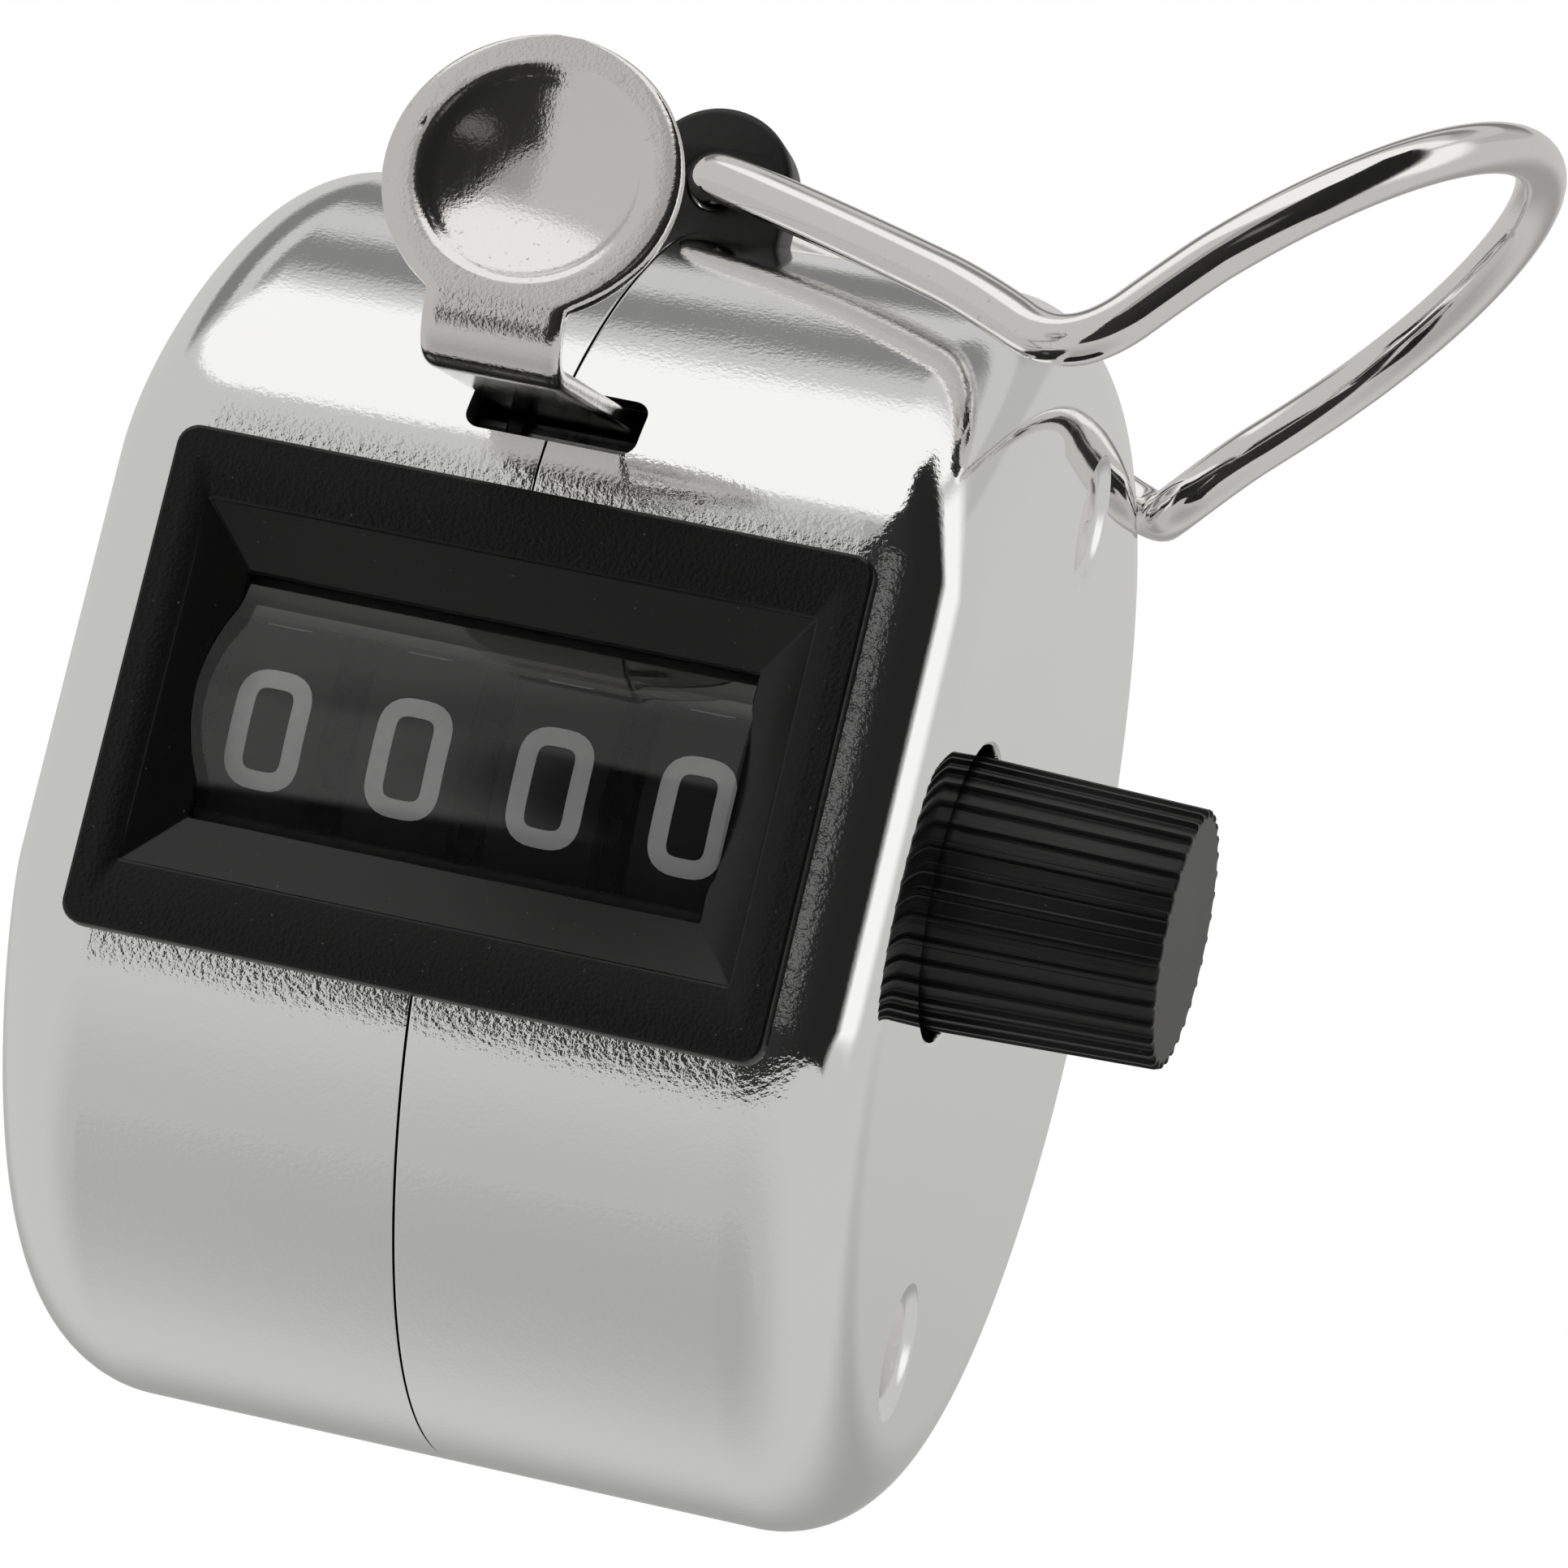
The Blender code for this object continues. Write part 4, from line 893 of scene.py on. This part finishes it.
def lever_inside(material):
    """Cross bar, ear and pawl arm that the strip carries inside the case."""
    tail = (-6.6, 13.5)
    pawl_pin = (-5.5, 1.5)
    arm = [((PIVOT.x, PIVOT.y), 1.2), (tail, 0.35), (pawl_pin, 0.9)]
    hole, pawl_hole = arc(PIVOT, 0.65, 0, 345, 23), arc(pawl_pin, 0.45, 0, 345, 23)
    plate = rounded_plate("lever_arm", [hull_outline(arm), hole, pawl_hole], (11.5, 12.2), 0.08)
    piece("lever_arm", plate, material, "lever")
    ear = rounded_plate("lever_ear", [hull_outline(arm[:2]), hole], (-2.35, -1.65), 0.08)
    piece("lever_ear", ear, material, "lever")
    section = [(-7.9, 13.05), (-6.0, 13.05), (-6.0, 13.7), (-7.9, 13.7)]
    bar = rounded_plate("lever_bar", [section], (1.9, 12.1), 0.08)
    piece("lever_bar", bar, material, "lever")


# ---------------------------------------------------------------- knob, lug and ring

def reset_knob(side_material, end_material):
    """Ribbed knob: rounded ribs, a slight taper and a small end round."""
    per_rib = 12
    # share of the length, depth of the grooves, radius added
    stations = [(0.0, 1.0, -0.4)] + [(share, 1.0, 0.0) for share in (0.0, 0.1, 0.4, 0.7, 0.985)]
    stations += [(0.996, 1.0, -0.04), (1.0, 0.95, -0.12), (1.0, 0.3, -0.4), (1.0, 0.0, -0.62)]
    rings = []
    for share, ribs, added in stations:
        x = KNOB_X[0] + (KNOB_X[1] - KNOB_X[0]) * share
        radius = KNOB_RADII[0] + (KNOB_RADII[1] - KNOB_RADII[0]) * share + added
        ring = []
        for step in range(KNOB_RIBS * per_rib):
            phase = abs((step % per_rib) / per_rib - 0.5) * 2
            groove = 0.24 * ribs * (1 - min(1.0, max(0.0, (phase - 0.62) / 0.22)))
            angle = math.tau * step / (KNOB_RIBS * per_rib)
            reach = radius - groove
            ring.append((x, reach * math.cos(angle), reach * math.sin(angle)))
        rings.append(ring)
    rings.append([(KNOB_X[1], y * 0.3, z * 0.3) for _, y, z in rings[-1]])
    rings.insert(0, [(KNOB_X[0], y * 0.32, z * 0.32) for _, y, z in rings[0]])
    mesh = loft("reset_knob", rings)
    bore = lathe("bore", [(13.0, 0.001), (13.0, 1.58), (21.3, 1.58), (21.3, 0.001)], 48, closed=False)
    mesh = combine(mesh, "DIFFERENCE", bore)
    piece("ribbed_knob", mesh, [side_material, end_material], "reset", ["reset_knob"], 24)
    for face in mesh.polygons:
        at_end = face.center.x > SEAM_X + (KNOB_X[1] - 0.02) * MM
        face.material_index = 1 if at_end and face.normal.x > 0.9 else 0


def ring_lug(material):
    """Black tab on the case top with a rounded edge, and its foot inside."""
    tab = arc((0, HINGE_Z), LUG_RADIUS, 0, 180, 40) + [(-LUG_RADIUS, 20.6), (LUG_RADIUS, 20.6)]
    hole = arc((0, HINGE_Z), 1.06, 0, 350, 35)
    mesh = rounded_plate("lug_tab", [tab, hole], (LUG_Y[0], LUG_Y[1]), 0.3, "Y")
    piece("lug_tab", mesh, material, "case", ["ring_lug"], 40)
    foot = rounded_plate("lug_foot", [[(-5, 20.2), (5, 20.2), (5, 21.2), (-5, 21.2)]],
                         (LUG_Y[0] - 1.2, LUG_Y[1] + 1.2), 0.15, "Y")
    piece("lug_foot", foot, material, "case")


def ring_points():
    """Closed centre line of the ring, from the hinge through the front arm, the loop and the rear arm."""
    rise, half_width, eye = math.radians(44.0), 13.2, 1.9
    drop, bend_x, straight = -6.1, 17.47, 5.3
    front = [(0, 0, 0), (0, -eye * 0.6, 0), (0, -eye, 0), (0.7, -eye - 0.9, -0.1), (6.0, -6.0, -1.85),
             (9.5, -8.3, -3.1), (12.9, -10.45, -4.35), (bend_x, -half_width - 0.4, drop - 0.7)]
    loop = [(straight, -half_width)]
    for step in range(1, 24):
        angle = math.pi * step / 24
        loop.append((straight + half_width * math.sin(angle), -half_width * math.cos(angle)))
    loop += [(straight, half_width), (straight * 0.6, half_width)]
    raised = [(bend_x + out * math.cos(rise), across, drop + out * math.sin(rise)) for out, across in loop]
    rear = [(17.45, 13.95, -6.25), (16.3, 18.3, -5.85), (12.9, 17.7, -4.5), (10.8, 15.2, -2.4),
            (8.0, 11.6, -1.0), (5.0, 8.0, -0.3), (0.9, eye + 0.9, 0), (0, eye, 0), (0, eye * 0.6, 0)]
    return front + raised + rear


def finger_ring(material):
    centre = Vector((0, (LUG_Y[0] + LUG_Y[1]) / 2, HINGE_Z))
    path = softened([centre + Vector(point) for point in ring_points()], True, 4)
    count = len(path)
    shape = bmesh.new()
    grid = []
    carried = Vector((0, 0, 1))
    for index, here in enumerate(path):
        along = (path[(index + 1) % count] - path[index - 1]).normalized()
        carried = (carried - along * carried.dot(along)).normalized()
        other = along.cross(carried)
        ring = []
        for step in range(28):
            angle = math.tau * step / 28
            offset = (carried * math.cos(angle) + other * math.sin(angle)) * RING_WIRE_RADIUS
            ring.append(shape.verts.new(place(*(here + offset))))
        grid.append(ring)
    add_skin_closing(shape, grid)
    piece("wire_ring", to_mesh(shape, "wire_ring"), material, "finger_ring", ["finger_ring"], 60)


def add_skin_closing(shape, grid):
    """Skin round a closed path; the last join turns the first ring so that the nearest points meet."""
    last, first = grid[-1], grid[0]
    shift = min(range(len(first)), key=lambda turn: (last[0].co - first[turn].co).length)
    for near, far in zip(grid, grid[1:] + [first[shift:] + first[:shift]]):
        for index in range(len(near)):
            other = (index + 1) % len(near)
            shape.faces.new((near[index], near[other], far[other], far[index]))


# ---------------------------------------------------------------- studio

def studio_world():
    """Soft studio by direction: bright top, grey below, a dark card front right, a lit strip beside it.

    Azimuth 0 is in front of the window and 90 to its right; angles are in degrees.
    """
    world = bpy.data.worlds.new("studio")
    world.use_nodes = True
    bpy.context.scene.world = world
    tree = world.node_tree
    tree.nodes.clear()
    n = Nodes(tree)
    ray = n.add("ShaderNodeTexCoord", output=0)
    split = tree.nodes.new("ShaderNodeSeparateXYZ")
    tree.links.new(ray, split.inputs[0])
    x, y, z = split.outputs
    degrees = 180 / math.pi
    azimuth = n.math("MULTIPLY", n.math("ARCTAN2", x, n.math("MULTIPLY", y, -1.0)), degrees)
    elevation = n.math("MULTIPLY", n.math("ARCSINE", z), degrees)
    level = n.ramp(elevation, -85, -40, 0.42, 0.59)
    rear_low = n.product(n.ramp(y, 0.7, 0.98), n.band(elevation, (-50, -10), (-6, 12)))
    level = n.blend(rear_low, level, 0.36)
    # overhead light, down to a raised lower edge on the right, none behind
    above_edge = n.math("SUBTRACT", elevation, n.ramp(azimuth, 5, 60, 43, 55))
    overhead = n.product(n.ramp(above_edge, -2, 4), n.ramp(y, 0.1, 0.2, 1.0, 0.0))
    level = n.blend(overhead, level, 1.0)
    # a dimmer patch of ceiling above the card
    dim = n.product(n.band(azimuth, (-15, -13), (20, 40)), n.ramp(elevation, 8, 14),
                    n.ramp(above_edge, -8, -2, 1.0, 0.0))
    level = n.blend(dim, level, 0.4)
    # dark card, with edges that lean
    left = n.math("SUBTRACT", azimuth, n.ramp(elevation, -34, -14, -18.5, -12.0))
    bottom = n.math("SUBTRACT", elevation, n.ramp(azimuth, 3, 80, -44, -18))
    card_top = n.math("ADD", n.ramp(azimuth, -10, 26, 11, 50), n.ramp(azimuth, 24, 50, 0, 22))
    top = n.math("SUBTRACT", elevation, card_top)
    card = n.product(n.ramp(left, -0.7, 0.7), n.ramp(azimuth, 78, 86, 1.0, 0.0),
                     n.ramp(bottom, -1.5, 1), n.ramp(top, -0.8, 1.2, 1.0, 0.0))
    level = n.blend(card, level, n.ramp(azimuth, 0, 60, 0.03, 0.018))
    # slot of weak light through the card
    gap = n.product(n.band(azimuth, (10, 17), (26, 36)), n.band(elevation, (1, 6), (11, 16)))
    level = n.blend(gap, level, 0.15)
    # dark bands over the back, weaker on the right, and a faint one low in front
    over = n.product(n.ramp(y, 0.1, 0.3), n.band(elevation, (58, 61), (67, 71)),
                     n.ramp(x, 0.1, 0.35, 1.0, 0.4))
    level = n.blend(over, level, 0.24)
    under = n.product(n.ramp(y, 0.15, 0.35), n.band(elevation, (33, 37), (47, 50)),
                      n.ramp(x, 0.1, 0.35, 1.0, 0.25))
    level = n.blend(under, level, 0.22)
    faint = n.product(n.band(elevation, (-71, -69), (-65, -63)), n.ramp(y, -0.1, 0.1, 1.0, 0.0))
    level = n.blend(faint, level, 0.5)
    # lit strip beside the card
    strip = n.product(n.band(azimuth, (83, 87), (100, 112)), n.band(elevation, (-10, 4), (44, 54)))
    level = n.blend(strip, level, 1.0)
    seen = n.add("ShaderNodeVectorMath", operation="SCALE", inputs={0: STUDIO_TINT, "Scale": level})
    lit = n.add("ShaderNodeBackground", inputs={"Color": seen, "Strength": 1.0})
    plain = n.add("ShaderNodeBackground", inputs={"Color": colour(1.0), "Strength": 1.0})
    camera_ray = n.add("ShaderNodeLightPath", output=0)
    both = n.add("ShaderNodeMixShader", inputs={0: camera_ray, 1: lit, 2: plain})
    output = tree.nodes.new("ShaderNodeOutputWorld")
    tree.links.new(both, output.inputs["Surface"])


def studio_floor():
    """Pale floor seen only from above; mirrors see the studio instead."""
    low = CAD_BOX[0].z - 0.0004
    mesh = bpy.data.meshes.new("floor")
    reach = 4.0
    mesh.from_pydata([(-reach, -reach, low), (reach, -reach, low), (reach, reach, low), (-reach, reach, low)],
                     [], [(0, 1, 2, 3)])
    material, n, shader = new_material("floor_paper")
    tree = material.node_tree
    position = n.position()
    n.feed(shader.inputs["Base Color"], n.mix(n.noise(position, 3.0), colour(0.87), colour(0.89)))
    n.feed(shader.inputs["Roughness"], 0.8)
    n.feed(shader.inputs["Normal"], bump(n, n.noise(position, 0.6), 0.02, 0.3))
    back = n.add("ShaderNodeNewGeometry", output=6)
    clear = n.add("ShaderNodeBsdfTransparent")
    mixed = n.add("ShaderNodeMixShader", inputs={0: back, 1: shader.outputs[0], 2: clear})
    output = next(node for node in tree.nodes if node.type == "OUTPUT_MATERIAL")
    tree.links.new(mixed, output.inputs["Surface"])
    floor = bpy.data.objects.new("floor", mesh)
    mesh.materials.append(material)
    bpy.context.scene.collection.objects.link(floor)
    floor.visible_glossy = False


def studio_light(name, direction, distance, size, power):
    """A soft area light aimed at the middle of the object."""
    data = bpy.data.lights.new(name, "AREA")
    data.shape = "DISK"
    data.size = size
    data.energy = power
    light = bpy.data.objects.new(name, data)
    bpy.context.scene.collection.objects.link(light)
    aim = Vector(direction).normalized()
    middle = (CAD_BOX[0] + CAD_BOX[1]) / 2
    light.location = middle + aim * distance
    light.rotation_mode = "QUATERNION"
    light.rotation_quaternion = aim.to_track_quat("Z", "Y")
    light.visible_glossy = False


def studio_camera():
    azimuth, elevation, roll = math.radians(12.23), math.radians(-8.59), math.radians(13.42)
    back = Vector((math.sin(azimuth) * math.cos(elevation), -math.cos(azimuth) * math.cos(elevation),
                   math.sin(elevation)))
    level = Vector((math.cos(azimuth), math.sin(azimuth), 0))
    above = back.cross(level)
    right = level * math.cos(roll) + above * math.sin(roll)
    up = above * math.cos(roll) - level * math.sin(roll)
    data = bpy.data.cameras.new("camera")
    data.lens = 202.8
    data.sensor_width = 36.0
    data.clip_start = 0.01
    camera = bpy.data.objects.new("camera", data)
    bpy.context.scene.collection.objects.link(camera)
    spot = place(0, BEZEL_FRONT_Y, 0) + back * 0.318 + right * 0.01146 - up * 0.001625
    turn = Matrix((right, up, back)).transposed().to_4x4()
    camera.matrix_world = Matrix.Translation(spot) @ turn
    bpy.context.scene.camera = camera


# ---------------------------------------------------------------- build

def dress_inside():
    """Materials for the CAD parts that stay: frame, shafts, pinions, pawls and springs."""
    looks = {"steel": metal("inner_steel", (0.55, 0.55, 0.56), 0.25),
             "spring_steel": metal("inner_spring", (0.4, 0.4, 0.42), 0.3),
             "brass": metal("inner_brass", (0.72, 0.53, 0.25), 0.25)}
    for entry in frame["record"]["subparts"]:
        if entry["material_slot"] in looks:
            mesh = frame["nodes"][entry["node"]].data
            mesh.materials.clear()
            mesh.materials.append(looks[entry["material_slot"]])


def build():
    case_look = [chrome_case(), black_plastic("case_inside", 0.012, 0.6, 0.4, 0.01)]
    case_half("left_shell", -1, case_look)
    case_half("right_shell", 1, case_look)
    screw_look = plated_steel("screw_plating", 0.85, (1.0, 0.99, 0.97), 0.12, 0.6)
    case_screw("upper_case_screw", 1, screw_look)
    case_screw("lower_case_screw", -1, screw_look)
    window_frame(black_plastic("frame_grained", 0.004, 0.3, 0.085, 0.02, gloss=0.3),
                 black_plastic("frame_smooth", 0.006, 0.24, 0.7, 0.003, (1.0, 0.4, 0.4), 0.36))
    window_cover(clear_plastic())
    window_shades(black_plastic("shade_grey", 0.075, 0.5, 0.3, 0.004, gloss=0.2))
    wheel_look = black_plastic("wheel_black", 0.007, 0.42, 0.4, 0.006, (0.5, 1.0, 1.0), 0.12)
    print_look = printed_grey()
    for index, order in enumerate(WHEELS):
        x = (index - 1.5) * WHEEL_PITCH
        wheel_drum(order, x, wheel_look)
        wheel_numbers(order, x, print_look)
    lever_look = plated_steel("lever_plating", 0.79, (1.0, 0.985, 0.965), 0.09, 1.0, 0.008)
    lever_plate(lever_look)
    lever_inside(metal("lever_inner", (0.05, 0.05, 0.052), 0.45))
    reset_knob(black_plastic("knob_ribbed", 0.006, 0.36, 0.12, 0.02, (0.06, 1.0, 1.0)),
               black_plastic("knob_end", 0.085, 0.55, 0.1, 0.015))
    ring_lug(black_plastic("lug_black", 0.007, 0.36, 0.2, 0.012))
    finger_ring(plated_steel("ring_plating", 0.86, (1.0, 0.985, 0.96), 0.05, 0.5))
    dress_inside()


build()
studio_world()
studio_floor()
studio_light("key", (-0.3, -0.6, 1.0), 0.6, 0.35, 1.2)
studio_camera()
bpy.context.scene.view_settings.view_transform = "Standard"
